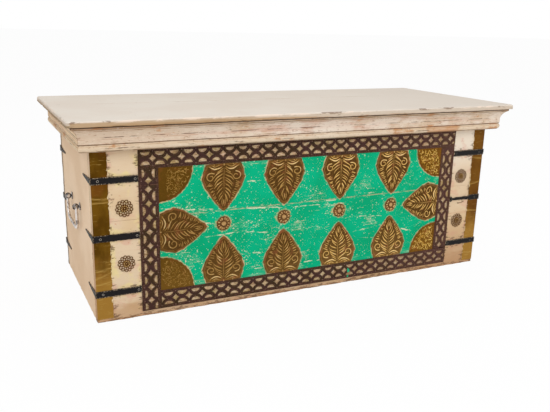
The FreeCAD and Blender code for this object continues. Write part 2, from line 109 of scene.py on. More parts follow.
# A socket of a node. Sums, products and the like of sockets and numbers add their Math nodes.
class Socket:
    def __init__(self, finish, node, output):
        self.finish = finish
        self.node = node
        self.output = output

    def other(self, name):
        return Socket(self.finish, self.node, self.node.outputs[name])

    def math(self, operation, first, second):
        return self.finish.add("Math", {"operation": operation}, {0: first, 1: second})

    def __add__(self, other):
        return self.math("ADD", self, other)

    def __radd__(self, other):
        return self.math("ADD", other, self)

    def __sub__(self, other):
        return self.math("SUBTRACT", self, other)

    def __rsub__(self, other):
        return self.math("SUBTRACT", other, self)

    def __mul__(self, other):
        return self.math("MULTIPLY", self, other)

    def __mod__(self, other):
        return self.math("FLOORED_MODULO", self, other)

    def __abs__(self):
        return self.math("ABSOLUTE", self, 0)

    def least(self, other):
        return self.math("MINIMUM", self, other)

    def most(self, other):
        return self.math("MAXIMUM", self, other)


# A material under construction: its Principled shader and the nodes that feed it
class Finish:
    def __init__(self, name, constants):
        self.material = bpy.data.materials.new(name)
        self.material.use_nodes = True
        self.tree = self.material.node_tree
        self.shader = self.tree.nodes["Principled BSDF"]
        for socket, value in constants.items():
            self.shader.inputs[socket].default_value = value
        self.place = self.add("TexCoord", {}, {}, "Object")

    def add(self, kind, settings, values, result=0):
        node = self.tree.nodes.new("ShaderNode" + kind)
        for key, setting in settings.items():
            setattr(node, key, setting)
        for key, value in values.items():
            if isinstance(value, Socket):
                self.tree.links.new(value.output, node.inputs[key])
            else:
                node.inputs[key].default_value = value
        return Socket(self, node, node.outputs[result])

    def axes(self):
        parts = self.add("SeparateXYZ", {}, {0: self.place})
        return parts, parts.other("Y"), parts.other("Z")

    def stretched(self, scales):
        return self.add("Mapping", {}, {"Vector": self.place, "Scale": scales})

    def noise(self, place, scale, detail=3, roughness=0.5, warp=0):
        values = {"Vector": place, "Scale": scale, "Detail": detail, "Roughness": roughness,
                  "Distortion": warp}
        return self.add("TexNoise", {}, values)

    def cells(self, place, scale):
        return self.add("TexVoronoi", {}, {"Vector": place, "Scale": scale})

    def ramp(self, value, low, high):
        values = {"Value": value, "From Min": low, "From Max": high}
        return self.add("MapRange", {"interpolation_type": "SMOOTHSTEP"}, values)

    # Lays coats over a colour, each as its colour and its mask. A colour is a socket or a tone on a screen.
    def layered(self, colour, *coats):
        for coat, mask in coats:
            under, over = [part if isinstance(part, Socket) else seen(part) for part in (colour, coat)]
            colour = self.add("Mix", {"data_type": "RGBA"}, {0: mask, 6: under, 7: over}, 2)
        return colour

    def marked(self, name):
        return self.add("Attribute", {"attribute_name": name}, {}, "Fac")

    def feed(self, **sockets):
        for name, value in sockets.items():
            self.tree.links.new(value.output, self.shader.inputs[name.replace("_", " ")])

    def relief(self, height, distance, strength=1):
        values = {"Height": height, "Distance": distance, "Strength": strength}
        self.feed(Normal=self.add("Bump", {}, values))


# A colour as it looks on a screen, turned into the renderer's own values
def seen(tone):
    linear = [(part / 255 / 12.92) if part < 11 else ((part / 255 + 0.055) / 1.055) ** 2.4 for part in tone]
    return (*linear, 1)


alongX = (0.055, 1, 1)
alongY = (1, 0.055, 1)
alongZ = (1, 1, 0.055)
limePaints = {
    "lid": {"fresh": (222, 213, 201), "tinted": (219, 208, 195), "thin": (214, 190, 168),
            "worn": (172, 134, 100), "bare": (78, 56, 40), "grain": alongX, "thinFrom": 0.66,
            "wornFrom": 0.70, "edge": 0.22, "fibre": 0.16, "relief": 0.3},
    "cornice": {"fresh": (220, 202, 184), "tinted": (208, 183, 154), "thin": (206, 164, 142),
                "worn": (158, 116, 84), "bare": (76, 54, 40), "grain": alongX, "thinFrom": 0.53,
                "wornFrom": 0.605, "edge": 0.16, "fibre": 0.35, "relief": 0.7, "dun": 0.45,
                "dirt": 0},
    "corniceSide": {"fresh": (234, 206, 165), "tinted": (224, 191, 150), "thin": (212, 172, 146),
                    "worn": (158, 114, 84), "bare": (72, 50, 36), "grain": alongY, "thinFrom": 0.54,
                    "wornFrom": 0.63, "edge": 0.13, "fibre": 0.3, "relief": 0.7, "dun": 0.05,
                    "dirt": 0.08},
    "boards": {"fresh": (224, 205, 178), "tinted": (216, 189, 148), "thin": (208, 170, 140),
               "worn": (166, 122, 86), "bare": (82, 58, 40), "grain": alongX, "thinFrom": 0.57,
               "wornFrom": 0.65, "edge": 0.15, "fibre": 0.3, "relief": 0.7},
    "ends": {"fresh": (236, 207, 174), "tinted": (226, 194, 158), "thin": (210, 176, 142),
             "worn": (166, 126, 94), "bare": (70, 50, 38), "grain": alongY, "thinFrom": 0.63,
             "wornFrom": 0.68, "edge": 0.15, "fibre": 0.2, "relief": 0.5},
}


# Lime paint over wood: returns its colour, its height and how worn it is
def limeLayers(finish, look, extra=0):
    grain = finish.stretched(look["grain"])
    short = finish.stretched([0.12 + 0.88 * part for part in look["grain"]])
    shorter = finish.stretched([0.3 + 0.7 * part for part in look["grain"]])
    drift = finish.noise(finish.place, 7, 3)
    fibres = finish.noise(grain, 700, 3, 0.6)
    patches = finish.noise(grain, 60, 6, 0.68)
    scratches = finish.noise(grain, 260, 5, 0.7)
    cracks = finish.noise(short, 280, 4, 0.65)
    specks = finish.noise(shorter, 330, 3, 0.6)
    edge = finish.marked("wear") * look["edge"] + extra
    grime = finish.marked("grime")
    wornFrom = look["wornFrom"]
    thin = finish.ramp(patches + edge, look["thinFrom"], look["thinFrom"] + 0.10)
    worn = finish.ramp(patches * 0.6 + scratches * 0.4 + edge, wornFrom, wornFrom + 0.05)
    lines = finish.ramp(scratches + edge * 0.5, wornFrom + 0.02, wornFrom + 0.09)
    dark = lines * finish.ramp(drift * 0.5 + patches * 0.5, 0.46, 0.56)
    split = finish.ramp(cracks + edge * 0.8, wornFrom + 0.07, wornFrom + 0.11)
    dots = finish.ramp(specks, 0.72, 0.76)
    # Dirt and painted shade in inner corners, and a painted shadow line under the lid, both from the grime
    # mark
    soilAndShade = finish.ramp(grime + (scratches - 0.5) * 1.1, 0.45, 0.95)
    black = finish.ramp(grime + (cracks - 0.5) * 1.6, 0.95, 1.2)
    colour = finish.layered(look["fresh"],
                            (look["tinted"], finish.ramp(drift, 0.38, 0.62)),
                            (look["thin"], finish.ramp(fibres, 0.42, 0.75) * look["fibre"]),
                            (look["thin"], thin * 0.7),
                            (look["worn"], worn * 0.85),
                            (look["worn"], soilAndShade * 0.8),
                            (look["bare"], dark.most(dots).most(split).most(black) * 0.8))
    height = fibres * 0.15 - worn * 0.5 - dark * 0.5 - thin * 0.15 - split * 0.8
    return colour, height, worn


woodTones = {"light": (150, 112, 76), "ring": (112, 78, 50), "fibre": (84, 58, 38)}


# Unpainted wood that shows on the inside: returns its colour and its height
def bareWood(finish, scales):
    grain = finish.stretched(scales)
    rings = finish.noise(grain, 90, 4, 0.6, 0.4)
    fibres = finish.noise(grain, 600, 3, 0.6)
    colour = finish.layered(woodTones["light"],
                            (woodTones["ring"], finish.ramp(rings, 0.35, 0.65)),
                            (woodTones["fibre"], finish.ramp(fibres, 0.5, 0.7) * 0.6))
    return colour, rings + fibres * 0.5


# How far a point lies inside the chest's inner faces, as a mask
def insideMask(finish):
    x, y, z = finish.axes()
    middle = boardThickness / 2
    depth = (chestHalf - middle - abs(x)).least(y - frontFace - middle).least(backFace - middle - y)
    return finish.ramp(depth, 0, 0.2 * mm)


# The lid's edge is darker from the first depth below its top to the second. The pale tone is a painted
# highlight along the edge's top, and the under tone is painted shade low on its left face.
lidTones = {"rim": (176, 144, 106), "far": (214, 203, 190), "from": 1.2 * mm, "to": 4.5 * mm,
            "pale": (234, 214, 196), "chip": (112, 80, 54), "under": (142, 112, 66)}


# The lid's edge, with a painted highlight in pale places along its top, dark chips among them, and painted
# shade low on its left face
def lidEdgeWithPaintedLight(finish, colour, x, z, below):
    down = lidTop - z
    leftFace = 1 - finish.ramp(x, -568 * mm, -564 * mm)
    cover = 0.9 - finish.ramp(x, -0.55, 0.2) * 0.5 - leftFace * 0.45
    nearRim = (1 - finish.ramp(down, 3 * mm, 7 * mm)) * finish.ramp(down, 0.3 * mm, 0.9 * mm)
    breaks = finish.noise(finish.stretched((0.1, 0.1, 0.3)), 150, 4, 0.7)
    return finish.layered(colour,
                          (lidTones["far"], finish.ramp(x, -300 * mm, 600 * mm) * 0.8),
                          (lidTones["rim"], below * cover),
                          # Painted highlight along the top of the edge
                          (lidTones["pale"], nearRim * finish.ramp(breaks, 0.50, 0.56) * 0.7),
                          (lidTones["chip"], nearRim * finish.ramp(breaks, 0.44, 0.38) * 0.7),
                          # Painted shade low on the left face
                          (lidTones["under"], finish.ramp(down, 6 * mm, 9 * mm) * leftFace * 0.7))


# Dark lines along the moulding, partly dirt and worn edges and partly painted shade in its grooves and under
# the lid:
# how far below its top and half how wide they are, both in millimetres, their tone, how strongly they cover,
# and the level of the noise from which they show
mouldingLines = [
    (2.4, 1.3, (66, 44, 28), 0.9, 0.22),
    (7.2, 0.9, (116, 82, 52), 0.85, 0.36),
    (11.0, 0.7, (150, 108, 76), 0.8, 0.44),
    (17.0, 0.6, (164, 124, 94), 0.6, 0.53),
    (24.8, 0.9, (92, 62, 42), 0.85, 0.47),
    (28.5, 0.6, (172, 122, 98), 0.6, 0.48),
    (34.5, 0.8, (140, 96, 68), 0.7, 0.52),
    (39.2, 1.1, (104, 72, 46), 0.85, 0.34),
    (43.0, 0.6, (166, 126, 84), 0.6, 0.42),
    (47.5, 1.3, (84, 56, 40), 0.8, 0.57),
    (53.4, 1.2, (124, 88, 56), 0.85, 0.38),
]
# The lowest bead is bare from smearFrom to smearTo along the front, and paler than the rest
mouldingTones = {"smear": (194, 138, 92), "dun": (192, 162, 124), "pale": (230, 217, 202),
                 "flake": (158, 118, 92), "bead": (216, 194, 162), "cover": 0.85,
                 "beadFrom": 37 * mm, "beadTo": 39 * mm, "smearFrom": 312 * mm, "smearTo": 412 * mm}


# Dark lines in the moulding's grooves and on its edges, partly dirt and partly painted shade, broken into
# longer and shorter stretches
def shadedAndSoiledMoulding(finish, colour, x, z, look):
    tones = mouldingTones
    down = bodyTop - z
    stretch = [1 if part == 1 else 0.12 for part in look["grain"]]
    wobble = finish.noise(finish.stretched(stretch), 60, 3, 0.6)
    breaks = finish.noise(finish.stretched(stretch), 150, 5, 0.7)
    smears = finish.noise(finish.stretched([0.5 + 0.5 * part for part in stretch]), 26, 4, 0.6)
    flakes = finish.noise(finish.stretched([0.3 + 0.7 * part for part in stretch]), 240, 4, 0.7)
    low = finish.ramp(down, tones["beadFrom"], tones["beadTo"])
    leftward = 1 - finish.ramp(x, -0.5, -0.1)
    dun = finish.ramp(8 * mm - down, -2 * mm, 2 * mm).most(leftward * 0.8)
    paled = (1 - leftward) * finish.ramp(smears, 0.58, 0.42)
    ends = (x - tones["smearFrom"]).least(tones["smearTo"] - x)
    rubbedBead = finish.ramp(ends + (breaks - 0.5) * 24 * mm, -2 * mm, 2 * mm) * low
    smear = finish.ramp(smears + low * 0.04, 0.61, 0.67) * finish.ramp(breaks, 0.38, 0.50)
    smear = smear.most(rubbedBead * (0.55 + finish.ramp(wobble, 0.4, 0.6) * 0.45))
    colour = finish.layered(colour,
                            (tones["pale"], paled * 0.6),
                            (tones["dun"], dun * look["dun"]),
                            (tones["bead"], low * 0.5),
                            (tones["pale"], finish.ramp(flakes, 0.42, 0.36) * 0.4),
                            (tones["flake"], finish.ramp(flakes, 0.58, 0.64) * 0.55),
                            (tones["smear"], smear * tones["cover"]))
    shown = breaks + (smears - 0.5) * 0.25 + look["dirt"]
    # Each line is dirt or a worn edge together with painted shade in a groove
    for below, half, tone, cover, shownFrom in mouldingLines:
        away = abs(down - below * mm + (wobble - 0.5) * 2.2 * mm)
        mark = 1 - finish.ramp(away, half * mm * 0.4, half * mm * 1.4)
        mark = mark * finish.ramp(shown, shownFrom, shownFrom + 0.07)
        colour = finish.layered(colour, (tone, mark * cover))
    return colour


# The chest's sides are rubbed down to the bare wood along their rear edge
def rearEdge(finish, x, y, z):
    outside = finish.ramp(abs(x) - chestHalf, -1 * mm, -0.5 * mm)
    return outside * finish.ramp(y - backFace, -24 * mm, -17 * mm) * finish.ramp(corniceBottom - z, 0, 2 * mm)


def limewash(name, key, lined=False, withLidEdge=False, moulded=False):
    look = limePaints[key]
    finish = Finish(name, {"Specular IOR Level": 0.15})
    x, y, z = finish.axes()
    below = finish.ramp(lidTop - z, lidTones["from"], lidTones["to"]) if withLidEdge else 0
    colour, height, worn = limeLayers(finish, look, below * 0.06)
    if withLidEdge:
        colour = lidEdgeWithPaintedLight(finish, colour, x, z, below)
    if moulded:
        colour = shadedAndSoiledMoulding(finish, colour, x, z, look)
    if lined:
        colour = finish.layered(colour,
                                (look["bare"], rearEdge(finish, x, y, z) * 0.7),
                                (bareWood(finish, look["grain"])[0], insideMask(finish)))
    finish.feed(Base_Color=colour, Roughness=0.58 + worn * 0.2)
    finish.relief(height, 0.5 * mm, look["relief"])
    return finish.material


def plainWood(name, scales):
    finish = Finish(name, {"Specular IOR Level": 0.3})
    colour, height = bareWood(finish, scales)
    finish.feed(Base_Color=colour, Roughness=0.7 + height * 0.1)
    finish.relief(height, 0.4 * mm, 0.6)
    return finish.material


# The leaf's straight-sided outline from base to tip: shares of its half width and of its length
leafOutline = [(0.80, 0.0), (0.91, 0.15), (1.0, 0.31), (0.86, 0.49), (0.50, 0.74), (0.15, 0.95), (0.0, 1.0)]


# How far a point lies outside a leaf, from its distance across the middle line and down from the base
def leafDistance(across, down):
    corners = [(wide * leafWidth / 2, low * leafLength) for wide, low in leafOutline]
    distance = None
    for (nearWide, nearLow), (farWide, farLow) in zip(corners, corners[1:]):
        length = math.hypot(farWide - nearWide, farLow - nearLow)
        outward = (across - nearWide) * ((farLow - nearLow) / length)
        side = outward - (down - nearLow) * ((farWide - nearWide) / length)
        distance = side if distance is None else distance.most(side)
    return distance


def roundDistance(across, up, radius):
    square = across * across + up * up
    return square.math("POWER", square, 0.5) - radius


# How far a point of the panel lies outside the nearest leaf or fan, and outside the nearest flower
def ornamentDistances(x, z):
    across = abs((x + 2 * leafSpacing) % leafSpacing - leafSpacing / 2)
    fromRail = (z - panelBottom).least(panelTop - z)
    beyond = (abs(x) - columnPlaces[-1] - leafSpacing / 2).most(0) * 40
    leaf = leafDistance(across, fromRail) + beyond
    side = leafDistance(abs(z - sideLeafHeight), panelRight - abs(x))
    fan = roundDistance(panelRight - abs(x), fromRail, fanRadius)
    flower = roundDistance(across, z - flowerHeight, flowerRadius) + beyond
    return leaf.least(side).least(fan), flower


# How far a point lies within the trim's outer edge, and within the green panel
def trimDepth(x, z):
    return (frameHalf - abs(x)).least(frameTop - z).least(z - frameBottom)


def panelDepth(x, z):
    return (z - panelBottom).least(panelTop - z).least(panelRight - abs(x))


# Dots are so many a metre; dotShare is the share of them that is left out where they don't crowd together
greenPaint = {"deep": (0, 160, 110), "light": (0, 174, 126), "fleck": (222, 216, 184),
              "dust": (142, 216, 174), "scratch": (206, 184, 146), "rubbed": (150, 202, 160),
              "halo": (204, 178, 130), "haloEdge": (134, 74, 46), "haloWidth": 2.6 * mm,
              "flowerHalo": (200, 176, 122), "flowerHaloWidth": 2.2 * mm, "smudgeLeft": 14 * mm,
              "smudgeRadius": 7 * mm, "dots": 180, "dotSize": 0.17, "dotShare": 0.66}
# Long scratches across the panel, each from one place to another as x and z in millimetres
scratchPlaces = [((-380, 247), (-236, 227)), ((-300, 236), (-180, 231)), ((-200, 229), (-60, 219)),
                 ((-66, 220), (98, 213)), ((-10, 226), (70, 224)), ((-330, 206), (-220, 196)),
                 ((110, 236), (190, 234)), ((122, 176), (206, 169)), ((120, 135), (182, 142)),
                 ((128, 119), (186, 112)), ((268, 128), (306, 118)), ((-276, 168), (-180, 173)),
                 ((-180, 170), (-116, 163)), ((-179, 118), (-125, 112)), ((-176, 89), (-128, 88)),
                 ((-175, 75), (-127, 74)), ((-176, 291), (-126, 291)), ((-20, 73), (30, 72))]
boardStains = {"yellow": (226, 206, 146), "pink": (212, 162, 140), "brown": (178, 132, 90),
               "red": (196, 122, 98), "dim": (150, 116, 84), "soot": (96, 68, 46),
               "tan": (208, 176, 138), "white": (232, 221, 207)}
# Tones of the wood that shows through the trim's holes
holeTones = {"pale": (198, 170, 130), "pink": (190, 148, 116), "olive": (178, 152, 94)}


# How near a point of the outer boards is to a strap, to the trim or to the brass, where dirt gathers
def nearTrim(finish, x, z):
    level = abs(z - strapLevels[0]).least(abs(z - strapLevels[1])).least(abs(z - strapLevels[2]))
    strap = (level - strapHeight / 2).most(0)
    nearest = strap.least(abs(abs(x) - frameHalf)).least(abs(abs(x) - brassInner))
    return (1 - finish.ramp(nearest, 0, 16 * mm)) * finish.ramp(abs(x) - frameHalf, -1 * mm, 0)


# Lime paint of the front boards, with yellow, pink and brown stains beside the metal and at the foot
def stainedBoards(finish, x, z):
    stains = boardStains
    near = nearTrim(finish, x, z)
    foot = finish.noise(finish.stretched((0.3, 1, 1)), 60, 4, 0.6)
    low = finish.ramp(36 * mm + (foot - 0.5) * 60 * mm - z, -14 * mm, 12 * mm)
    colour, height, worn = limeLayers(finish, limePaints["boards"], near * 0.05 + low * 0.05)
    rightward = finish.ramp(x, 0, 0.4)
    high = finish.ramp(z, 0.20, 0.34)
    deep = 1 - finish.ramp(z, 0.04, 0.16)
    cloud = finish.noise(finish.place, 24, 3, 0.6)
    blush = finish.noise(finish.stretched((0.7, 1, 1)), 34, 4, 0.6)
    spots = finish.noise(finish.stretched((0.6, 1, 1)), 90, 4, 0.65)
    dirt = finish.noise(finish.stretched((0.25, 1, 1)), 260, 4, 0.7)
    crowd = finish.noise(finish.place, 30, 3, 0.6)
    yellowed = finish.ramp(cloud + near * 0.16, 0.60, 0.76) * (1 - rightward * 0.9) * 0.75
    pinked = finish.ramp(blush + near * 0.06, 0.55, 0.68)
    reddened = finish.ramp(spots + near * 0.03, 0.66, 0.72)
    sides = finish.ramp(abs(x) - chestHalf, -1 * mm, -0.5 * mm) * (1 - finish.ramp(z, 0.16, 0.26))
    soot = finish.ramp(dirt * 0.6 + crowd * 0.4 + near * 0.095 + low * 0.03, 0.62, 0.66)
    chips = finish.ramp(8 * mm + (spots - 0.5) * 26 * mm - z, -1 * mm, 1 * mm) * finish.ramp(dirt, 0.46, 0.54)
    soot = soot.most(chips * 0.9)
    colour = finish.layered(colour,
                            (stains["tan"], (1 - rightward) * 0.35),
                            (stains["white"], rightward * high * 0.75),
                            (stains["tan"], rightward * (1 - high) * 0.5),
                            (stains["yellow"], yellowed),
                            (stains["pink"], pinked * 0.5),
                            (stains["brown"], deep * rightward * 0.5),
                            (stains["brown"], low * (0.28 + foot * 0.45)),
                            (stains["red"], reddened * 0.6),
                            (stains["brown"], sides * (0.2 + foot * 0.9)),
                            (stains["soot"], soot * 0.75))
    return colour, height - soot * 0.3, worn


# The wood seen through the trim, dull and of another tone from hole to hole, with painted shade in the holes
def seenThrough(finish, x, z):
    tone = finish.noise(finish.place, 34, 2, 0.5)
    blush = finish.noise(finish.stretched((1, 1, 0.9)), 51, 2, 0.5)
    dirt = finish.noise(finish.stretched((0.4, 1, 1)), 320, 4, 0.65)
    shade = finish.noise(finish.place, 150, 3, 0.6)
    leftEnd = 1 - finish.ramp(x, -0.42, -0.36)
    rightward = finish.ramp(x + (tone - 0.5) * 0.6, -0.05, 0.35)
    holeShade = (rightward * (1 - finish.ramp(z, 0.05, 0.12) * 0.45)).most(leftEnd * 0.5)
    holeShade = holeShade.most(finish.ramp(shade, 0.50, 0.62) * 0.8)
    sheltered = 1 - finish.ramp(trimDepth(x, z), 3 * mm, 12 * mm)
    # Painted shade dims the holes towards the right, at the left end and in patches; the soot tone is dirt
    # and painted shade near the trim's edge
    return finish.layered(holeTones["pale"],
                          (holeTones["pink"], finish.ramp(blush, 0.46, 0.66) * 0.8),
                          (holeTones["olive"], finish.ramp(tone, 0.50, 0.68) * 0.8),
                          (boardStains["dim"], holeShade * 0.75),
                          (boardStains["white"], finish.ramp(dirt, 0.46, 0.36) * 0.35),
                          (boardStains["soot"], finish.ramp(dirt + sheltered * 0.10, 0.50, 0.66) * 0.65))


# Long scratches through the paint, thin and broken
def scratchMask(finish, x, z, ragged, patchy):
    bend = finish.noise(finish.stretched((1, 1, 0.2)), 26, 2, 0.5)
    strays = (ragged - 0.5) * 4 * mm + (bend - 0.5) * 9 * mm
    marks = None
    for (startX, startZ), (endX, endZ) in scratchPlaces:
        slope = (endZ - startZ) / (endX - startX)
        away = abs(z - (x - startX * mm) * slope - startZ * mm + strays)
        reach = (x - startX * mm).least(endX * mm - x)
        mark = 1 - finish.ramp(away - (patchy - 0.5) * 9 * mm, 0.2 * mm, 1.1 * mm)
        mark = mark * finish.ramp(reach, 0, 6 * mm)
        marks = mark if marks is None else marks.most(mark)
    return marks


# Green paint with dots, flecks and scratches through it: returns its colour and where it is gone
def wornGreen(finish, x, z, ragged, fray):
    paint = greenPaint
    drift = finish.noise(finish.place, 16, 3)
    crowd = finish.noise(finish.stretched((0.6, 1, 1)), 22, 3, 0.6)
    cells = finish.cells(finish.place, paint["dots"])
    fine = finish.cells(finish.place, paint["dots"] * 2.1)
    flecks = finish.noise(finish.stretched((0.7, 1, 1)), 300, 3, 0.65)
    strokes = finish.noise(finish.stretched((0.09, 1, 1)), 420, 4, 0.62)
    patchy = finish.noise(finish.stretched((0.5, 1, 1)), 110, 4, 0.7)

    cluster = finish.ramp(crowd - finish.ramp(x, 0, 0.16) * 0.06, 0.49, 0.61)
    size = paint["dotSize"] + cluster * 0.06 + (ragged - 0.5) * 0.4
    dotTone = finish.add("SeparateColor", {}, {0: cells.other("Color")})
    present = finish.ramp(dotTone + cluster * 0.42, paint["dotShare"], paint["dotShare"] + 0.02)
    dotMask = finish.ramp(size - cells, -0.03, 0.03) * present
    fineMask = finish.ramp(size * 0.8 - fine, -0.04, 0.03) * present
    dots = finish.layered(paint["dust"], (paint["fleck"], finish.ramp(dotTone, 0.5, 0.8)))

    fleckMask = finish.ramp(flecks + cluster * 0.07, 0.69, 0.71)
    strokeMask = finish.ramp(strokes + cluster * 0.07, 0.69, 0.71)
    breaks = finish.ramp(patchy * 0.5 + strokes * 0.5, 0.46, 0.52)
    seam = 1 - finish.ramp(abs(z - jointHeight) + fray * 0.7, 0.5 * mm, 1.9 * mm)
    seam = seam * finish.ramp(patchy * 0.4 + crowd * 0.6, 0.42, 0.50)
    streaks = strokeMask.most(seam * finish.ramp(strokes, 0.4, 0.5) * 1.2)
    foot = 1 - finish.ramp(z - panelBottom, 0, 0.04)
    lowEdge = (1 - finish.ramp(panelDepth(x, z), 2 * mm, 26 * mm)) * 0.10 + foot * 0.09
    rubbed = finish.ramp(crowd + lowEdge, 0.60, 0.74) * finish.ramp(strokes, 0.44, 0.60)
    bared = fleckMask.most(scratchMask(finish, x, z, ragged, patchy) * breaks)
    colour = finish.layered(paint["deep"],
                            (paint["light"], finish.ramp(drift, 0.35, 0.65)),
                            (paint["rubbed"], rubbed * 0.55),
                            (paint["scratch"], streaks * 0.7),
                            (dots, dotMask.most(fineMask * 0.9) * 0.9),
                            (paint["fleck"], bared * 0.85))
    return colour, bared


# The paint is worn to the wood round every leaf, fan and flower: returns the colour and where it is gone
def haloed(finish, colour, x, z, fray):
    paint = greenPaint
    nearest, flower = ornamentDistances(x, z)
    broken = finish.ramp(finish.noise(finish.place, 70, 3, 0.6), 0.40, 0.56)
    wide = paint["haloWidth"]
    halo = 1 - finish.ramp(nearest + fray, wide - 0.8 * mm, wide + 0.4 * mm)
    haloEdge = 1 - finish.ramp(nearest + fray * 0.6, 0, 1.2 * mm)
    wide = paint["flowerHaloWidth"]
    leftOf = abs((x + 2 * leafSpacing + paint["smudgeLeft"]) % leafSpacing - leafSpacing / 2)
    smudge = roundDistance(leftOf, z - flowerHeight, paint["smudgeRadius"]).least(flower)
    ring = 1 - finish.ramp(smudge + fray * 2.4, wide - 0.8 * mm, wide + 0.4 * mm)
    ringEdge = 1 - finish.ramp(flower + fray, 0, 0.8 * mm)
    colour = finish.layered(colour,
                            (paint["halo"], halo * (0.25 + broken * 0.7)),
                            (paint["haloEdge"], haloEdge * (0.9 - broken * 0.6)),
                            (paint["flowerHalo"], ring * (0.3 + broken * 0.6)),
                            (paint["haloEdge"], ringEdge * 0.8))
    return colour, halo.most(ring)


# The front boards: lime paint round a green panel that is worn along the brass and along the joint
def paintedFront():
    finish = Finish("painted_front", {"Specular IOR Level": 0.06})
    x, y, z = finish.axes()
    colour, height, worn = stainedBoards(finish, x, z)
    ragged = finish.noise(finish.place, 260, 4, 0.65)
    fray = (ragged - 0.5) * 8 * mm
    inPanel = finish.ramp(panelDepth(x, z) + fray * 0.3, -1.5 * mm, -0.5 * mm)
    green, bared = wornGreen(finish, x, z, ragged, fray)
    green, rings = haloed(finish, green, x, z, fray)
    gone = bared.most(rings) * inPanel
    colour = finish.layered(colour,
                            (seenThrough(finish, x, z), finish.ramp(trimDepth(x, z), 0, 0.4 * mm)),
                            (green, inPanel),
                            (bareWood(finish, alongX)[0], insideMask(finish)))
    finish.feed(Base_Color=colour, Roughness=0.58 + worn * 0.2 + gone * 0.15 - inPanel * 0.06)
    finish.relief(height * (1 - inPanel) - gone * 0.6, 0.5 * mm, 0.6)
    return finish.material


# Brass beaten over a die, coloured by its height: patina and painted shade in the hollows, rubbed brass and a
# painted highlight on the ridges.
# A height off the front boards up to "from" is a hollow and from "to" a ridge; "low" is how far hollows turn
# pale near the panel's foot.
embossedLooks = {
    "leaf": {"hollow": (82, 54, 14), "flat": (120, 84, 36), "ridge": (174, 134, 72), "paintedHighlight": (240, 208, 148),
             "rust": (150, 84, 52), "gold": (222, 178, 100), "goldFrom": -0.12, "low": 0.12,
             "from": 0.9 * mm, "to": 2.3 * mm},
    "fan": {"hollow": (92, 62, 4), "flat": (108, 74, 14), "ridge": (154, 114, 46), "paintedHighlight": (206, 164, 92),
            "rust": (122, 70, 26), "gold": (152, 112, 44), "goldFrom": -0.5, "low": 0.35,
            "from": 0.9 * mm, "to": 1.4 * mm},
    "fanGold": {"hollow": (104, 66, 4), "flat": (152, 104, 22), "ridge": (214, 164, 66),
                "paintedHighlight": (255, 224, 132), "rust": (158, 92, 44), "gold": (222, 174, 74), "goldFrom": 0.2,
                "low": 0.05, "from": 0.9 * mm, "to": 1.4 * mm},
    "boss": {"hollow": (74, 38, 4), "flat": (104, 66, 22), "ridge": (212, 170, 104),
             "paintedHighlight": (246, 216, 156), "rust": (96, 52, 14), "gold": (206, 162, 98), "goldFrom": 0,
             "low": 0.12, "from": 0.8 * mm, "to": 3.2 * mm},
    "flower": {"hollow": (92, 62, 32), "flat": (146, 106, 58), "ridge": (190, 150, 96),
               "paintedHighlight": (230, 198, 146), "rust": (168, 108, 70), "gold": (200, 162, 104), "goldFrom": 0,
               "low": 0.12, "from": 0.9 * mm, "to": 3.0 * mm},
}


def embossedBrass(name, key):
    look = embossedLooks[key]
    finish = Finish(name, {"Specular IOR Level": 0.12})
    x, y, z = finish.axes()
    rise = finish.ramp(frontFace - y, look["from"], look["to"])
    patina = finish.noise(finish.place, 60, 4, 0.6)
    grime = finish.noise(finish.place, 260, 4, 0.65)
    nearest = ornamentDistances(x, z)[0]
    outside = finish.ramp(nearest, 1 * mm, 3 * mm)
    rim = finish.ramp(nearest + (grime - 0.5) * 6 * mm, -3.2 * mm, -1.2 * mm) * (1 - outside)
    # More painted highlight near the panel's edges
    bright = (1 - finish.ramp(panelDepth(x, z), 14 * mm, 40 * mm)) * 0.14
    golden = finish.ramp(x + (patina - 0.5) * 0.1, look["goldFrom"], look["goldFrom"] + 0.2)
    rough = rise + (grime - 0.5) * 0.9
    lowDown = (1 - finish.ramp(z, 0.04, 0.16)) * look["low"]
    # A painted highlight on the highest ridges
    paintedHighlight = finish.ramp(rough + (patina - 0.5) * 0.9 + bright + golden * 0.06, 0.90, 1.16)
    dull = finish.ramp(x, -0.28, -0.37) * (1 - outside)
    rusted = (finish.ramp(patina, 0.53, 0.70) * 0.42).most(rim * finish.ramp(patina, 0.47, 0.58) * 0.8)
    ridge = finish.layered(look["ridge"], (look["gold"], golden))
    colour = finish.layered(look["hollow"],
                            (look["flat"], finish.ramp(rough, -0.02, 0.20)),
                            (ridge, lowDown.most(finish.ramp(rough, 0.26, 0.70))),
                            (look["paintedHighlight"], paintedHighlight * 0.7),
                            (look["hollow"], dull * 0.25),
                            (look["hollow"], rim * 0.38),
                            (look["rust"], rusted))
    finish.feed(Base_Color=colour, Metallic=0.3 + rise * 0.25 - rim * 0.2,
                Roughness=0.54 - rise * 0.14 + grime * 0.1)
    finish.relief(grime, 0.25 * mm, 0.5)
    return finish.material


# The sheet's inner edge is under paint from the given distance to the chest's side
brassSheetLook = {"deep": (86, 56, 2), "light": (110, 76, 12), "low": (162, 120, 50),
                  "worn": (186, 150, 78), "rust": (128, 72, 26), "paint": (226, 204, 160),
                  "paintFrom": 35 * mm, "ragged": 20 * mm}


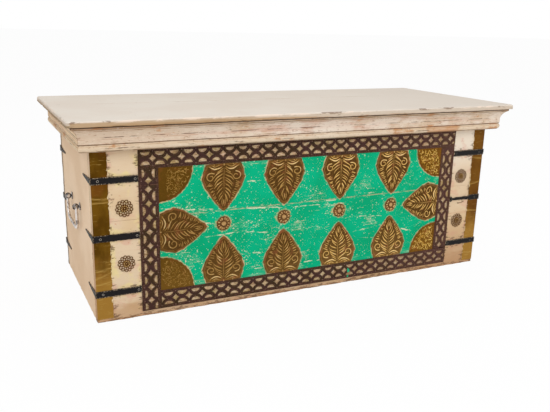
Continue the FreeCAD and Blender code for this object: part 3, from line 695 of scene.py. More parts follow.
def brassSheet():
    look = brassSheetLook
    finish = Finish("brass_sheet", {"Specular IOR Level": 0.08})
    x, y, z = finish.axes()
    cloud = finish.noise(finish.stretched((1, 1, 0.5)), 26, 3, 0.6)
    streak = finish.noise(finish.stretched((0.15, 1, 1)), 320, 3, 0.6)
    ragged = finish.noise(finish.stretched((1, 1, 0.6)), 170, 5, 0.7)
    blush = finish.noise(finish.place, 15, 3, 0.5)
    redder = (finish.ramp(blush, 0.52, 0.66) * 0.4).most(finish.ramp(x, 0, 0.4) * 0.3)
    lowDown = finish.ramp(130 * mm - z + (cloud - 0.5) * 120 * mm, -50 * mm, 60 * mm)
    scuffed = finish.ramp(streak + lowDown * 0.04, 0.60, 0.72)
    # A painted highlight along the creases
    creaseHighlight = finish.marked("creaseHighlight") * finish.ramp(streak, 0.3, 0.5)
    inner = chestHalf - abs(x) + (ragged - 0.5) * look["ragged"]
    lime = finish.ramp(inner, look["paintFrom"], look["paintFrom"] + 1 * mm)
    colour = finish.layered(look["deep"],
                            (look["light"], finish.ramp(cloud, 0.36, 0.64)),
                            (look["rust"], redder),
                            (look["low"], lowDown * 0.95),
                            (look["worn"], scuffed * 0.45),
                            (look["worn"], creaseHighlight * 0.85),
                            (look["paint"], lime))
    finish.feed(Base_Color=colour, Metallic=(1 - lime) * 0.5, Roughness=0.46 + streak * 0.15 + lime * 0.2)
    finish.relief(cloud * 0.6 + streak * 0.1 + lime * 0.4, 0.5 * mm, 0.6)
    return finish.material


trimTones = {"red": (64, 36, 30), "olive": (58, 38, 14), "pale": (98, 62, 52), "grime": (34, 20, 16),
             "ridge": (142, 102, 82), "paintedGlint": (176, 148, 122)}
# A touch of the panel's paint left on the lower trim
greenDaub = {"place": 113 * mm, "half": 2.5 * mm, "height": frameBottom + 14 * mm, "reach": 12 * mm}


def piercedIron():
    finish = Finish("pierced_iron", {"Specular IOR Level": 0.2})
    x, y, z = finish.axes()
    cloud = finish.noise(finish.place, 38, 4, 0.6)
    grime = finish.noise(finish.place, 300, 3, 0.6)
    specks = finish.noise(finish.place, 520, 2, 0.5)
    smear = finish.noise(finish.place, 130, 4, 0.65)
    rise = finish.ramp(frontFace - y, 1.2 * mm, 2.1 * mm)
    across = abs(x - greenDaub["place"]) - greenDaub["half"]
    daub = across.most(abs(z - greenDaub["height"]) - greenDaub["reach"])
    colour = finish.layered(trimTones["red"],
                            (trimTones["olive"], finish.ramp(cloud, 0.42, 0.60)),
                            (trimTones["pale"], finish.ramp(x, 0, 0.4) * 0.35),
                            (trimTones["grime"], finish.ramp(grime, 0.5, 0.7) * 0.6),
                            # A painted highlight on the raised ridges, with rubbed metal
                            (trimTones["ridge"], rise * finish.ramp(grime, 0.42, 0.60) * 0.7),
                            # Light specks painted as glints on the beads
                            (trimTones["paintedGlint"], finish.ramp(specks, 0.68, 0.74) * 0.7),
                            (greenPaint["light"],
                             1 - finish.ramp(daub + (smear - 0.5) * 14 * mm, -1 * mm, 0)))
    finish.feed(Base_Color=colour, Metallic=0.15 + rise * 0.15, Roughness=0.52 + grime * 0.15)
    finish.relief(grime, 0.2 * mm, 0.5)
    return finish.material


# Iron that shows a second tone wherever it is marked as an edge
def blackIron(name, tone, edgeTone, metallic, broken=True):
    finish = Finish(name, {"Metallic": metallic, "Specular IOR Level": 0.15})
    x, y, z = finish.axes()
    hammered = finish.noise(finish.place, 120, 3, 0.5)
    grime = finish.noise(finish.place, 420, 4, 0.6)
    kept = finish.ramp(grime, 0.50, 0.58) * 0.8 if broken else 1 - finish.ramp(x, 0, 0.3) * 0.7
    colour = finish.layered(tone,
                            ([part * 0.6 for part in tone], finish.ramp(grime, 0.4, 0.65)),
                            (edgeTone, finish.marked("wear") * kept))
    finish.feed(Base_Color=colour, Roughness=0.42 + grime * 0.25)
    finish.relief(hammered + grime * 0.3, 0.4 * mm, 0.6)
    return finish.material


def forgedSteel(name, bright, dull):
    finish = Finish(name, {"Metallic": 0.8, "Specular IOR Level": 0.5})
    hammered = finish.noise(finish.place, 160, 3, 0.5)
    grime = finish.noise(finish.place, 90, 4, 0.65)
    finish.feed(Base_Color=finish.layered(bright, (dull, finish.ramp(grime, 0.46, 0.62))),
                Roughness=0.24 + grime * 0.3)
    finish.relief(hammered, 0.5 * mm, 0.6)
    return finish.material


print("materials")
materials = {
    "lid": limewash("limewash_lid", "lid", withLidEdge=True),
    "cornice": limewash("limewash_cornice", "cornice", moulded=True),
    "corniceSide": limewash("limewash_cornice_side", "corniceSide", moulded=True),
    "boards": limewash("limewash_boards", "boards", lined=True),
    "ends": limewash("limewash_ends", "ends", lined=True),
    "front": paintedFront(),
    "woodX": plainWood("bare_wood_long", alongX),
    "woodZ": plainWood("bare_wood_upright", alongZ),
    "leaf": embossedBrass("embossed_leaf", "leaf"),
    "fan": embossedBrass("embossed_fan", "fan"),
    "fanGold": embossedBrass("embossed_fan_gold", "fanGold"),
    "boss": embossedBrass("embossed_boss", "boss"),
    "flower": embossedBrass("embossed_flower", "flower"),
    "sheet": brassSheet(),
    "pierced": piercedIron(),
    "black": blackIron("black_iron", (24, 20, 21), (192, 170, 140), 0),
    "hinge": blackIron("hinge_iron", (58, 52, 50), (128, 112, 98), 0.5),
    "nail": blackIron("nail_heads", (34, 30, 30), (168, 160, 148), 0.3, broken=False),
    "stud": blackIron("trim_nails", (150, 118, 104), (190, 170, 150), 0.3),
    "steel": forgedSteel("handle_iron", (226, 218, 212), (108, 98, 92)),
    "eyeSteel": forgedSteel("eye_iron", (150, 142, 138), (52, 46, 44)),
}


sharpAngle = math.radians(38)


# Turns a bmesh into a piece of the object that moves with a body
def addPiece(name, bm, material, body, replaced=()):
    bmesh.ops.recalc_face_normals(bm, faces=bm.faces)
    mesh = bpy.data.meshes.new(name)
    bm.to_mesh(mesh)
    bm.free()
    mesh.shade_smooth()
    mesh.set_sharp_from_angle(angle=sharpAngle)
    piece = bpy.data.objects.new(name, mesh)
    bpy.context.scene.collection.objects.link(piece)
    mesh.materials.append(materials[material])
    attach(piece, body)
    if replaced:
        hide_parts(*replaced)


# An inner corner bends by more than the signed angle; an edge's faces have normals less alike than the limit
wearLimits = {"hollow": -0.25, "alike": 0.93}
# A finer chipping goes over the coarse one. No chips come within calmReach of a joint that stays closed.
chipping = {"fine": 0.25, "fineScale": 3.1, "waveScale": 6, "waveShift": Vector((3, 7, 1)),
            "calmReach": 3 * mm}


# Marks the points on edges and in inner corners, so that the materials can wear the edges and darken the
# inner corners with dirt and painted shade
def markWear(bm):
    bm.normal_update()
    wear = bm.verts.layers.float.new("wear")
    grime = bm.verts.layers.float.new("grime")
    for vert in bm.verts:
        normals = [face.normal for face in vert.link_faces]
        hollow = any(edge.is_manifold and edge.calc_face_angle_signed(0) < wearLimits["hollow"]
                     for edge in vert.link_edges)
        onEdge = any(normal.dot(normals[0]) < wearLimits["alike"] for normal in normals)
        vert[grime] = 1 if hollow else 0
        vert[wear] = 1 if onEdge and not hollow else 0
    return wear


# Pushes worn edges in by chips and flats by a gentle waviness, never outwards
def roughen(bm, chip, chipScale, wave=0, calm=None):
    layer = markWear(bm)
    moves = []
    for vert in bm.verts:
        if calm and abs(vert.co.z - calm) < chipping["calmReach"]:
            vert[layer] = 0
        ragged = noise.noise(vert.co * chipScale)
        ragged += chipping["fine"] * noise.noise(vert.co * chipScale * chipping["fineScale"])
        dip = 0.5 + 0.5 * noise.noise(vert.co * chipping["waveScale"] + chipping["waveShift"])
        moves.append(vert.normal * (chip * max(0, ragged) * vert[layer] + wave * dip))
    for vert, move in zip(bm.verts, moves):
        vert.co -= move


# A board with softened edges, cut into a grid fine enough to be uneven
def boardMesh(low, high, step, edge):
    bm = bmesh.new()
    bmesh.ops.create_cube(bm, size=1)
    size = high - low
    bmesh.ops.scale(bm, vec=size, verts=bm.verts)
    bmesh.ops.translate(bm, vec=(low + high) / 2, verts=bm.verts)
    for axis in range(3):
        run = [side for side in bm.edges
               if abs((side.verts[0].co - side.verts[1].co)[axis]) > size[axis] * 0.9]
        cuts = int(size[axis] / step)
        if cuts:
            bmesh.ops.subdivide_edges(bm, edges=run, cuts=cuts, use_grid_fill=True)
    sharp = [side for side in bm.edges if side.calc_face_angle(0) > 1]
    bmesh.ops.bevel(bm, geom=sharp, offset=edge, segments=2, profile=0.5, affect="EDGES", material=-1)
    return bm


boards = {"step": 7 * mm, "edge": 1.3 * mm, "frontEdge": 0.4 * mm, "chip": 1.8 * mm, "chipScale": 60,
          "wave": 0.35 * mm, "lidGap": 1.1 * mm, "gapReach": 0.7 * mm, "shade": 1.6 * mm, "paintedShade": 1.3}


# Lowers what lies under the lid a little and marks it for painted shade, so that a dark line shows between
# them
def leaveGap(bm):
    grime = bm.verts.layers.float["grime"]
    for vert in bm.verts:
        depth = bodyTop - vert.co.z
        if depth < boards["shade"]:
            # Painted shade just under the lid's edge
            vert[grime] = boards["paintedShade"]
        if depth < boards["gapReach"]:
            vert.co.z -= boards["lidGap"]


def makeBoards():
    jobs = [("front_plank_lower", "front", "painted_front"), ("front_plank_upper", "front", "painted_front"),
            ("back_plank_lower", "boards", "limewashed_wood"),
            ("back_plank_upper", "boards", "limewashed_wood"),
            ("left_end_board", "ends", "limewashed_wood"), ("right_end_board", "ends", "limewashed_wood"),
            ("back_rail", "boards", "limewashed_wood")]
    for node, material, slot in jobs:
        low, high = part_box(node)
        front = material == "front"
        bm = boardMesh(low, high, boards["step"], boards["frontEdge"] if front else boards["edge"])
        roughen(bm, boards["chip"], boards["chipScale"], boards["wave"], calm=jointHeight if front else None)
        leaveGap(bm)
        addPiece("worn_" + node, bm, material, "chest", [node])


cleaning = {"merge": 0.005 * mm, "flat": math.radians(1), "sharp": 0.6, "near": 0.001 * mm}


# A copy of a solid as clean faces with softened edges, cut across so that it can be uneven
def cleanCopy(node, edge, cuts):
    bm = bmesh.new()
    bm.from_mesh(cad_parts[node].data)
    bmesh.ops.remove_doubles(bm, verts=bm.verts, dist=cleaning["merge"])
    bmesh.ops.dissolve_limit(bm, angle_limit=cleaning["flat"], verts=bm.verts, edges=bm.edges)
    if edge:
        sharp = [side for side in bm.edges
                 if side.is_manifold and side.is_convex and side.calc_face_angle(0) > cleaning["sharp"]]
        bmesh.ops.bevel(bm, geom=sharp, offset=edge, segments=2, profile=0.5, affect="EDGES", material=-1,
                        clamp_overlap=True)
    low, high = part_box(node)
    for axis, step in cuts.items():
        direction = Vector([1 if index == axis else 0 for index in range(3)])
        count = max(1, round((high[axis] - low[axis]) / step))
        for cut in range(1, count):
            place = low + (high - low) * (cut / count)
            everything = bm.verts[:] + bm.edges[:] + bm.faces[:]
            bmesh.ops.bisect_plane(bm, geom=everything, dist=cleaning["near"], plane_co=place,
                                   plane_no=direction)
    return bm


lidLook = {"step": 5 * mm, "chip": 1.7 * mm, "chipScale": 70, "wave": 0.3 * mm}


def makeLid():
    for node in ("lid_plank_front", "lid_plank_back"):
        bm = cleanCopy(node, 0, {0: lidLook["step"], 1: lidLook["step"]})
        roughen(bm, lidLook["chip"], lidLook["chipScale"], lidLook["wave"])
        addPiece("worn_" + node, bm, "lid", "lid", [node])


corniceLook = {"edge": 0.8 * mm, "step": 4 * mm, "rise": 3 * mm, "chip": 1.8 * mm, "chipScale": 75}


def makeCornice():
    for node, axis, material in (("cornice_front", 0, "cornice"), ("cornice_left", 1, "corniceSide"),
                                 ("cornice_right", 1, "corniceSide")):
        bm = cleanCopy(node, corniceLook["edge"], {axis: corniceLook["step"], 2: corniceLook["rise"]})
        roughen(bm, corniceLook["chip"], corniceLook["chipScale"])
        leaveGap(bm)
        addPiece("worn_" + node, bm, material, "chest", [node])


curveMerge = 0.002 * mm


# Joins meshes made from curves into one bmesh
def gathered(meshes):
    bm = bmesh.new()
    for mesh in meshes:
        bm.from_mesh(mesh)
        bpy.data.meshes.remove(mesh)
    bmesh.ops.remove_doubles(bm, verts=bm.verts, dist=curveMerge)
    return bm


def meshOfCurve(curve):
    holder = bpy.data.objects.new("outline", curve)
    bpy.context.scene.collection.objects.link(holder)
    bpy.context.view_layer.update()
    mesh = bpy.data.meshes.new_from_object(holder.evaluated_get(bpy.context.evaluated_depsgraph_get()))
    bpy.data.objects.remove(holder)
    bpy.data.curves.remove(curve)
    return mesh


# Sheet metal with rounded edges, from an outline and its holes. Its back lies at 0.
def sheetMesh(outline, holes, thickness, edge):
    curve = bpy.data.curves.new("sheet", "CURVE")
    curve.dimensions = "2D"
    curve.fill_mode = "BOTH"
    curve.bevel_depth = edge
    curve.bevel_resolution = 1
    curve.offset = -edge
    curve.extrude = thickness / 2 - edge
    for points in [outline] + holes:
        spline = curve.splines.new("POLY")
        spline.points.add(len(points) - 1)
        for corner, (x, y) in zip(spline.points, points):
            corner.co = (x, y, 0, 1)
        spline.use_cyclic_u = True
    mesh = meshOfCurve(curve)
    mesh.transform(Matrix.Translation((0, 0, thickness / 2)))
    return mesh


# Raised ridges along curved paths. Each path is its points, its half widths and whether it is a ring.
def ridgeMesh(paths, level, flatness, sides=2, steps=3):
    curve = bpy.data.curves.new("ridges", "CURVE")
    curve.dimensions = "3D"
    curve.bevel_depth = 1
    curve.bevel_resolution = sides
    curve.resolution_u = steps
    curve.use_fill_caps = True
    for points, widths, ring in paths:
        spline = curve.splines.new("NURBS")
        spline.points.add(len(points) - 1)
        for corner, (x, y), width in zip(spline.points, points, widths):
            corner.co = (x, y, 0, 1)
            corner.radius = width
        spline.order_u = 3
        spline.use_cyclic_u = ring
        spline.use_endpoint_u = not ring
    mesh = meshOfCurve(curve)
    mesh.transform(Matrix.Translation((0, 0, level)) @ Matrix.Diagonal((1, 1, flatness, 1)))
    return mesh


# Lays work drawn flat, with its face up, on the front boards
def ontoFront(bm, x, z, turn=0):
    place = Matrix.Translation((x, frontFace, z)) @ Matrix.Rotation(turn, 4, "Y")
    bmesh.ops.transform(bm, matrix=place @ Matrix.Rotation(math.pi / 2, 4, "X"), verts=bm.verts)


# A low dome on the work, such as a nail head or a bead
def addDome(bm, x, y, level, radius, height, rings=5, sides=9, stretch=1, turn=0):
    made = bmesh.ops.create_uvsphere(bm, u_segments=sides, v_segments=rings, radius=1)["verts"]
    shape = Matrix.Diagonal((radius * stretch, radius, height, 1))
    place = Matrix.Translation((x, y, level)) @ Matrix.Rotation(turn, 4, "Z") @ shape
    bmesh.ops.transform(bm, matrix=place, verts=made)


lattice = {"pitch": 32.1 * mm, "band": 7.4 * mm, "disc": 10.2 * mm, "discDepth": 8.2 * mm,
           "starLong": 20.0 * mm, "starWide": 19.6 * mm, "starHollow": 1.9 * mm, "endBar": 1.0 * mm,
           "thickness": 1.3 * mm, "edge": 0.35 * mm, "ridge": 0.85 * mm, "ridgeOut": 2.0 * mm,
           "bead": 0.8 * mm, "beadIn": 1.1 * mm, "beadOut": 1.2 * mm, "beadStep": 6 * mm,
           "beadMargin": 1.5 * mm, "beadStray": 0.3 * mm, "stud": 1.3 * mm, "studOut": 1.6 * mm,
           "studHeight": 1.6 * mm, "seam": 0.9 * mm, "seamMargin": 1 * mm, "uneven": 0.09,
           "jitter": 0.9 * mm, "jitterScale": 60}
# Where each strip's pattern starts, how deep its half discs are, and its patch with a pattern of its own
latticeStrips = {
    "lattice_top": {"lead": 0, "upright": False, "depth": 1, "patch": 0, "patchLead": 0},
    "lattice_left": {"lead": 23.6 * mm, "upright": True, "depth": 0.86, "patch": 36 * mm,
                     "patchLead": 9.5 * mm},
    "lattice_bottom": {"lead": 1.5 * mm, "upright": False, "depth": 1, "patch": 0, "patchLead": 0},
    "lattice_right": {"lead": 10 * mm, "upright": True, "depth": 1, "patch": 0, "patchLead": 0},
}


# Places of the stars and of the discs between them on a stretch of a strip, each with the stretch's ends
def latticePlaces(start, end, lead):
    stars = []
    place = start + lead % lattice["pitch"] - lattice["pitch"]
    while place < end + lattice["pitch"]:
        stars.append(place)
        place += lattice["pitch"]
    discs = [place + lattice["pitch"] / 2 for place in stars]
    return [[(place, start, end) for place in places if start < place < end] for places in (stars, discs)]


# A place on a strip, kept off the ends of its stretch
def keptIn(across, low, high):
    return min(max(across, low + lattice["endBar"]), high - lattice["endBar"])


# Points along an arc, whose radius may swell and shrink by a share so many times
def arc(x, y, radius, start, end, count, scallop=0, scallops=1):
    points = []
    for step in range(count + 1):
        share = step / count
        angle = start + (end - start) * share
        reach = radius * (1 + scallop * math.cos(2 * math.pi * scallops * share))
        points.append((x + reach * math.cos(angle), y + reach * math.sin(angle)))
    return points


# The bulging side of a flattened half disc that stands on a strip's band, cut off at the stretch's ends
def halfDisc(disc, y, depth, grow, start, end, count):
    x, low, high = disc
    size = 1 + lattice["uneven"] * 2 * noise.noise(Vector((x * 90, y * 300, 2)))
    points = []
    for step in range(count + 1):
        angle = start + (end - start) * step / count
        across = keptIn(x + (lattice["disc"] * size + grow) * math.cos(angle), low, high)
        points.append((across, y + (depth * size + grow) * math.sin(angle)))
    return points


def starOutline(star, grow=0):
    middle, low, high = star
    size = 1 + lattice["uneven"] * (noise.noise(Vector((middle * 110, 5, 1))) - 0.3)
    long = lattice["starLong"] / 2 * size + grow
    wide = lattice["starWide"] / 2 * size + grow
    tips = [(long, 0), (0, wide), (-long, 0), (0, -wide)]
    points = []
    for tip, following in zip(tips, tips[1:] + tips[:1]):
        for step in range(4):
            share = step / 4
            x = tip[0] + (following[0] - tip[0]) * share
            y = tip[1] + (following[1] - tip[1]) * share
            draw = 1 - 4 * share * (1 - share) * lattice["starHollow"] / (long * 0.75)
            points.append((keptIn(middle + x * draw, low, high), y * draw))
    return points


# The openings of a strip and the ridges round them
def openings(stars, discs, sill, depth):
    holes = [starOutline(star) for star in stars]
    ridges = []
    for disc in discs:
        for side in (-1, 1):
            turn = -side * math.pi
            holes.append(halfDisc(disc, side * sill, depth, 0, 0, turn, 16))
            ring = halfDisc(disc, side * sill, depth, lattice["ridgeOut"], 0.06 * turn, 0.94 * turn, 9)
            ridges.append((ring, [lattice["ridge"]] * len(ring), False))
    for star in stars:
        ring = starOutline(star, lattice["ridgeOut"] * 0.5)[::2]
        ridges.append((ring, [lattice["ridge"] * 0.6] * len(ring), True))
    return holes, ridges


# Three uneven beads along each of a strip's two bands
def beads(length, half, sill):
    lines = []
    margin = lattice["beadMargin"]
    count = int(length / lattice["beadStep"])
    for offset in (half - lattice["beadIn"], half - lattice["band"] * 0.5, sill + lattice["beadOut"]):
        for side in (-1, 1):
            line = []
            for step in range(count + 1):
                x = margin + (length - 2 * margin) * step / count
                stray = lattice["beadStray"] * noise.noise(Vector((x * 150, offset * 900, side)))
                line.append((x, side * (offset + stray)))
            swell = [lattice["bead"] * (0.8 + 0.3 * (step % 2)) for step in range(len(line))]
            lines.append((line, swell, False))
    return lines


def makeLattice():
    studs = bmesh.new()
    for node, strip in latticeStrips.items():
        low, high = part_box(node)
        upright = strip["upright"]
        length = (high.z - low.z) if upright else (high.x - low.x)
        half = ((high.x - low.x) if upright else (high.z - low.z)) / 2
        sill = half - lattice["band"]
        joint = length - strip["patch"]
        stars, discs = latticePlaces(0, joint, strip["lead"])
        if strip["patch"]:
            moreStars, moreDiscs = latticePlaces(joint, length, strip["patchLead"])
            stars += moreStars
            discs += moreDiscs
        holes, ridges = openings(stars, discs, sill, lattice["discDepth"] * strip["depth"])
        ridges += beads(length, half, sill)
        if strip["patch"]:
            end = half - lattice["seamMargin"]
            ridges.append(([(joint, -end), (joint, 0), (joint, end)], [lattice["seam"]] * 3, False))
        corners = [(0, -half), (length, -half), (length, half), (0, half)]
        plate = sheetMesh(corners, holes, lattice["thickness"], lattice["edge"])
        bm = gathered([plate, ridgeMesh(ridges, lattice["thickness"], 0.8, 1, 1)])
        x, z, turn = (low.x + half, low.z, -math.pi / 2) if upright else (low.x, low.z + half, 0)
        ontoFront(bm, x, z, turn)
        wander(bm, lattice["jitter"], lattice["jitterScale"])
        addPiece("pierced_" + node, bm, "pierced", "chest", [node])

        heads = bmesh.new()
        for star in stars:
            for side in (-1, 1):
                y = side * (sill + lattice["studOut"])
                addDome(heads, star[0], y, lattice["thickness"], lattice["stud"], lattice["studHeight"], 4, 8)
        ontoFront(heads, x, z, turn)
        addTo(studs, heads)
    addPiece("trim_nails", studs, "stud", "chest")


# Adds one bmesh to another
def addTo(whole, part):
    mesh = bpy.data.meshes.new("part")
    part.to_mesh(mesh)
    part.free()
    whole.from_mesh(mesh)
    bpy.data.meshes.remove(mesh)


leafWork = {"thickness": 0.9 * mm, "edge": 0.3 * mm, "marginOuter": 0.985, "margin": 0.90,
            "marginRise": 0.4 * mm, "sunk": 0.1 * mm, "rimInset": 0.97, "rim": 0.6 * mm, "flatness": 0.8,
            "middle": 0.40, "edgeStep": 4 * mm, "bulge": 1.3 * mm, "jitter": 1.8 * mm, "jitterScale": 38,
            "fineJitter": 0.7 * mm, "fineScale": 110, "feathers": 8, "firstFeather": 0.15,
            "featherStep": 0.070, "sprigs": 12, "firstSprig": 0.37, "sprigStep": 0.042, "seed": 70}
leafCurl = {"across": 0.60, "down": 0.275, "wide": 0.24, "tall": 0.10, "turns": 1.2, "points": 13,
            "firstTurn": (0.55, 0.75), "shrink": 0.72, "stroke": 1.6, "thinning": 0.5}


def leafPoint(across, down):
    return (across * leafWidth / 2, -down * leafLength)


# Share of the leaf's half width at a share of its length
def leafReach(down):
    for (nearWide, nearLow), (farWide, farLow) in zip(leafOutline, leafOutline[1:]):
        if down <= farLow:
            return nearWide + (farWide - nearWide) * (down - nearLow) / (farLow - nearLow)
    return 0


# The leaf's edge with uneven sides and eased corners, shrunk towards its middle by a share
def leafEdge(share):
    right = [leafPoint(*point) for point in leafOutline]
    corners = right + [(-x, y) for x, y in right[-2::-1]]
    centre = leafPoint(0, leafWork["middle"])
    points = []
    for index, (x, y) in enumerate(corners):
        nextX, nextY = corners[(index + 1) % len(corners)]
        length = math.hypot(nextX - x, nextY - y)
        base = index == len(corners) - 1
        count = 2 if base else max(3, round(length / leafWork["edgeStep"]))
        for step in range(count):
            along = (step + 0.5) / count
            ripple = noise.noise(Vector((index * 3.1, along * 5, 0))) * 1.1
            bulge = 0 if base else leafWork["bulge"] * (math.sin(math.pi * along) - 0.6 + ripple)
            px = x + (nextX - x) * along + (nextY - y) / length * bulge
            py = y + (nextY - y) * along - (nextX - x) / length * bulge
            py = centre[1] + (py - centre[1]) * share
            points.append((centre[0] + (px - centre[0]) * share, min(0, py)))
    return points[::-1]


# Strokes at the palmette's base and on its middle line: where each passes, in shares of the leaf, and its
# half widths in millimetres. A stroke off the middle line is mirrored.
palmette = [
    ([(0, 0.01), (0, 0.05)], [1.6, 1.2]),
    ([(0.44, 0.012), (0.44, 0.035)], [1.6, 1.2]),
    ([(0, 0.09), (0, 0.38), (0, 0.66)], [0.9, 1.2, 0.7]),
    ([(0.07, 0.07), (0.22, 0.115), (0.50, 0.12), (0.70, 0.05)], [0.9, 1.9, 2.2, 1.0]),
    ([(0.14, 0.03), (0.30, 0.07), (0.50, 0.065), (0.58, 0.02)], [0.9, 1.3, 1.5, 0.9]),
    ([(0.05, 0.10), (0.18, 0.16), (0.32, 0.19)], [1.0, 1.6, 1.0]),
    ([(0, 0.74), (0, 0.79), (0, 0.86)], [0.8, 2.6, 0.8]),
    ([(0.07, 0.71), (0.13, 0.79), (0.03, 0.90)], [0.8, 1.5, 0.9]),
]


# A scroll beside the palmette's root
def scroll(chance):
    curl = leafCurl
    points = []
    widths = []
    first = chance.uniform(*curl["firstTurn"]) * math.pi
    for step in range(curl["points"]):
        share = step / (curl["points"] - 1)
        angle = first - share * curl["turns"] * 2 * math.pi
        size = 1 - curl["shrink"] * share
        points.append((curl["across"] + curl["wide"] * size * math.cos(angle),
                       curl["down"] - curl["tall"] * size * math.sin(angle)))
        widths.append(curl["stroke"] - curl["thinning"] * step / curl["points"])
    return points, widths


# The palmette's feathers, which fan out from the middle rib, and the shorter sprigs beside them
def feathers(chance):
    work = leafWork
    strokes = []
    for row in range(work["feathers"]):
        low = work["firstFeather"] + work["featherStep"] * (row + chance.uniform(-0.2, 0.2))
        drop = chance.uniform(0.12, 0.19)
        tip = leafReach(low + drop) * chance.uniform(0.42, 0.56)
        bold = chance.uniform(1.2, 2.0)
        places = [(0.045, low), (tip * 0.4, low + drop * 0.2), (tip * 0.85, low + drop * 0.6),
                  (tip, low + drop)]
        strokes.append((places, [0.8, bold, bold * 0.9, 0.8]))
    for row in range(work["sprigs"]):
        low = work["firstSprig"] + work["sprigStep"] * (row + chance.uniform(-0.3, 0.3))
        start = leafReach(low) * chance.uniform(0.56, 0.66)
        end = leafReach(low) * chance.uniform(0.78, 0.88)
        lean = chance.uniform(0.01, 0.07)
        middle = low + lean / 2 + chance.uniform(-0.015, 0.015)
        strokes.append(([(start, low), ((start + end) / 2, middle), (end, low + lean)],
                        [0.9, chance.uniform(1.2, 2.1), 0.9]))
    return strokes


def leafRidges(chance):
    paths = []
    for side in (1, -1):
        for shares, widths in palmette + feathers(chance) + [scroll(chance)]:
            if side == 1 or shares[0][0] > 0:
                points = [leafPoint(side * across, down) for across, down in shares]
                paths.append((points, [width * mm for width in widths], False))
    return paths


# Shifts points along the front by their place, so that no two pieces of beaten brass are alike
def wander(bm, amount, scale):
    for vert in bm.verts:
        shift = noise.noise_vector(Vector((vert.co.x, 0, vert.co.z)) * scale)
        vert.co.x += shift.x * amount
        vert.co.z += shift.z * amount


def makeLeaves():
    places = [(f"leaf_top_{index + 1}", x, panelTop, 0) for index, x in enumerate(columnPlaces)]
    places += [(f"leaf_bottom_{index + 1}", x, panelBottom, math.pi) for index, x in enumerate(columnPlaces)]
    places += [("leaf_side_left", panelLeft, sideLeafHeight, -math.pi / 2),
               ("leaf_side_right", panelRight, sideLeafHeight, math.pi / 2)]
    work = leafWork
    rim = leafEdge(work["rimInset"])[::2]
    inner = leafEdge(work["margin"])[::-1]
    for index, (node, x, z, turn) in enumerate(places):
        plate = sheetMesh(leafEdge(1), [], work["thickness"], work["edge"])
        margin = sheetMesh(leafEdge(work["marginOuter"]), [inner], work["marginRise"], work["edge"])
        margin.transform(Matrix.Translation((0, 0, work["thickness"] - work["sunk"])))
        top = work["thickness"] + work["marginRise"] - work["sunk"]
        rimMesh = ridgeMesh([(rim, [work["rim"]] * len(rim), True)], top, 0.6, 1, 1)
        chance = random.Random(work["seed"] + index)
        lobes = ridgeMesh(leafRidges(chance), work["thickness"], work["flatness"])
        bm = gathered([plate, margin, rimMesh, lobes])
        ontoFront(bm, x, z, turn)
        wander(bm, work["jitter"], work["jitterScale"])
        wander(bm, work["fineJitter"], work["fineScale"])
        addPiece("embossed_" + node, bm, "leaf", "chest", [node])


fanWork = {"thickness": 0.9 * mm, "edge": 0.3 * mm, "stroke": 15 * mm, "width": 0.52 * mm,
           "flatness": 0.9, "rows": 12, "innerRow": 0.14, "rowSpread": 0.78, "apart": 5.2 * mm,
           "parts": 6, "jitter": 1.4 * mm, "jitterScale": 45, "seed": 40}


# Small curled strokes in rows round the corner, like chased foliage. The sheet is plain at its upright side.
def fanRidges(chance, plain):
    paths = []
    for row in range(fanWork["rows"]):
        radius = fanRadius * (fanWork["innerRow"] + fanWork["rowSpread"] * row / (fanWork["rows"] - 1))
        count = max(2, round(radius * math.pi / 2 / fanWork["apart"]))
        for step in range(count):
            angle = -(step + 0.5 + chance.uniform(-0.25, 0.25)) / count * math.pi / 2
            x = radius * math.cos(angle)
            y = radius * math.sin(angle)
            heading = angle + chance.choice((0.5, -0.5, 2.1, -2.1)) + chance.uniform(-0.4, 0.4)
            bend = chance.choice((-1, 1)) * chance.uniform(0.5, 1.1)
            reach = fanWork["stroke"] * chance.uniform(0.6, 1.1)
            points = []
            for part in range(fanWork["parts"]):
                points.append((x, y))
                x += math.cos(heading) * reach / fanWork["parts"]
                y += math.sin(heading) * reach / fanWork["parts"]
                heading += bend * (0.35 + 0.25 * part)
            inside = [px > plain and py < -2 * mm and math.hypot(px, py) < fanRadius * 0.95
                      for px, py in points]
            if all(inside):
                widths = [fanWork["width"] * share for share in (0.5, 1.0, 1.2, 1.1, 0.9, 0.5)]
                paths.append((points, widths, False))
    return paths


# Each fan's node, corner, turn and material, and how wide its plain side is
def makeFans():
    places = [("quarter_fan_top_left", panelLeft, panelTop, 0, "fan", 15 * mm),
              ("quarter_fan_top_right", panelRight, panelTop, math.pi / 2, "fanGold", 2 * mm),
              ("quarter_fan_bottom_right", panelRight, panelBottom, math.pi, "fanGold", 2 * mm),
              ("quarter_fan_bottom_left", panelLeft, panelBottom, -math.pi / 2, "fan", 3 * mm)]
    for index, (node, x, z, turn, material, plain) in enumerate(places):
        chance = random.Random(fanWork["seed"] + index)
        outline = [(0, 0)] + arc(0, 0, fanRadius, -math.pi / 2, 0, 40, 0.012, 9)
        plate = sheetMesh(outline, [], fanWork["thickness"], fanWork["edge"])
        ridges = ridgeMesh(fanRidges(chance, plain), fanWork["thickness"], fanWork["flatness"])
        bm = gathered([plate, ridges])
        ontoFront(bm, x, z, turn)
        wander(bm, fanWork["jitter"], fanWork["jitterScale"])
        addPiece("embossed_" + node, bm, material, "chest", [node])


def circle(radius, count, scallop=0, scallops=1):
    return arc(0, 0, radius, 0, 2 * math.pi, count, scallop, scallops)[:-1]


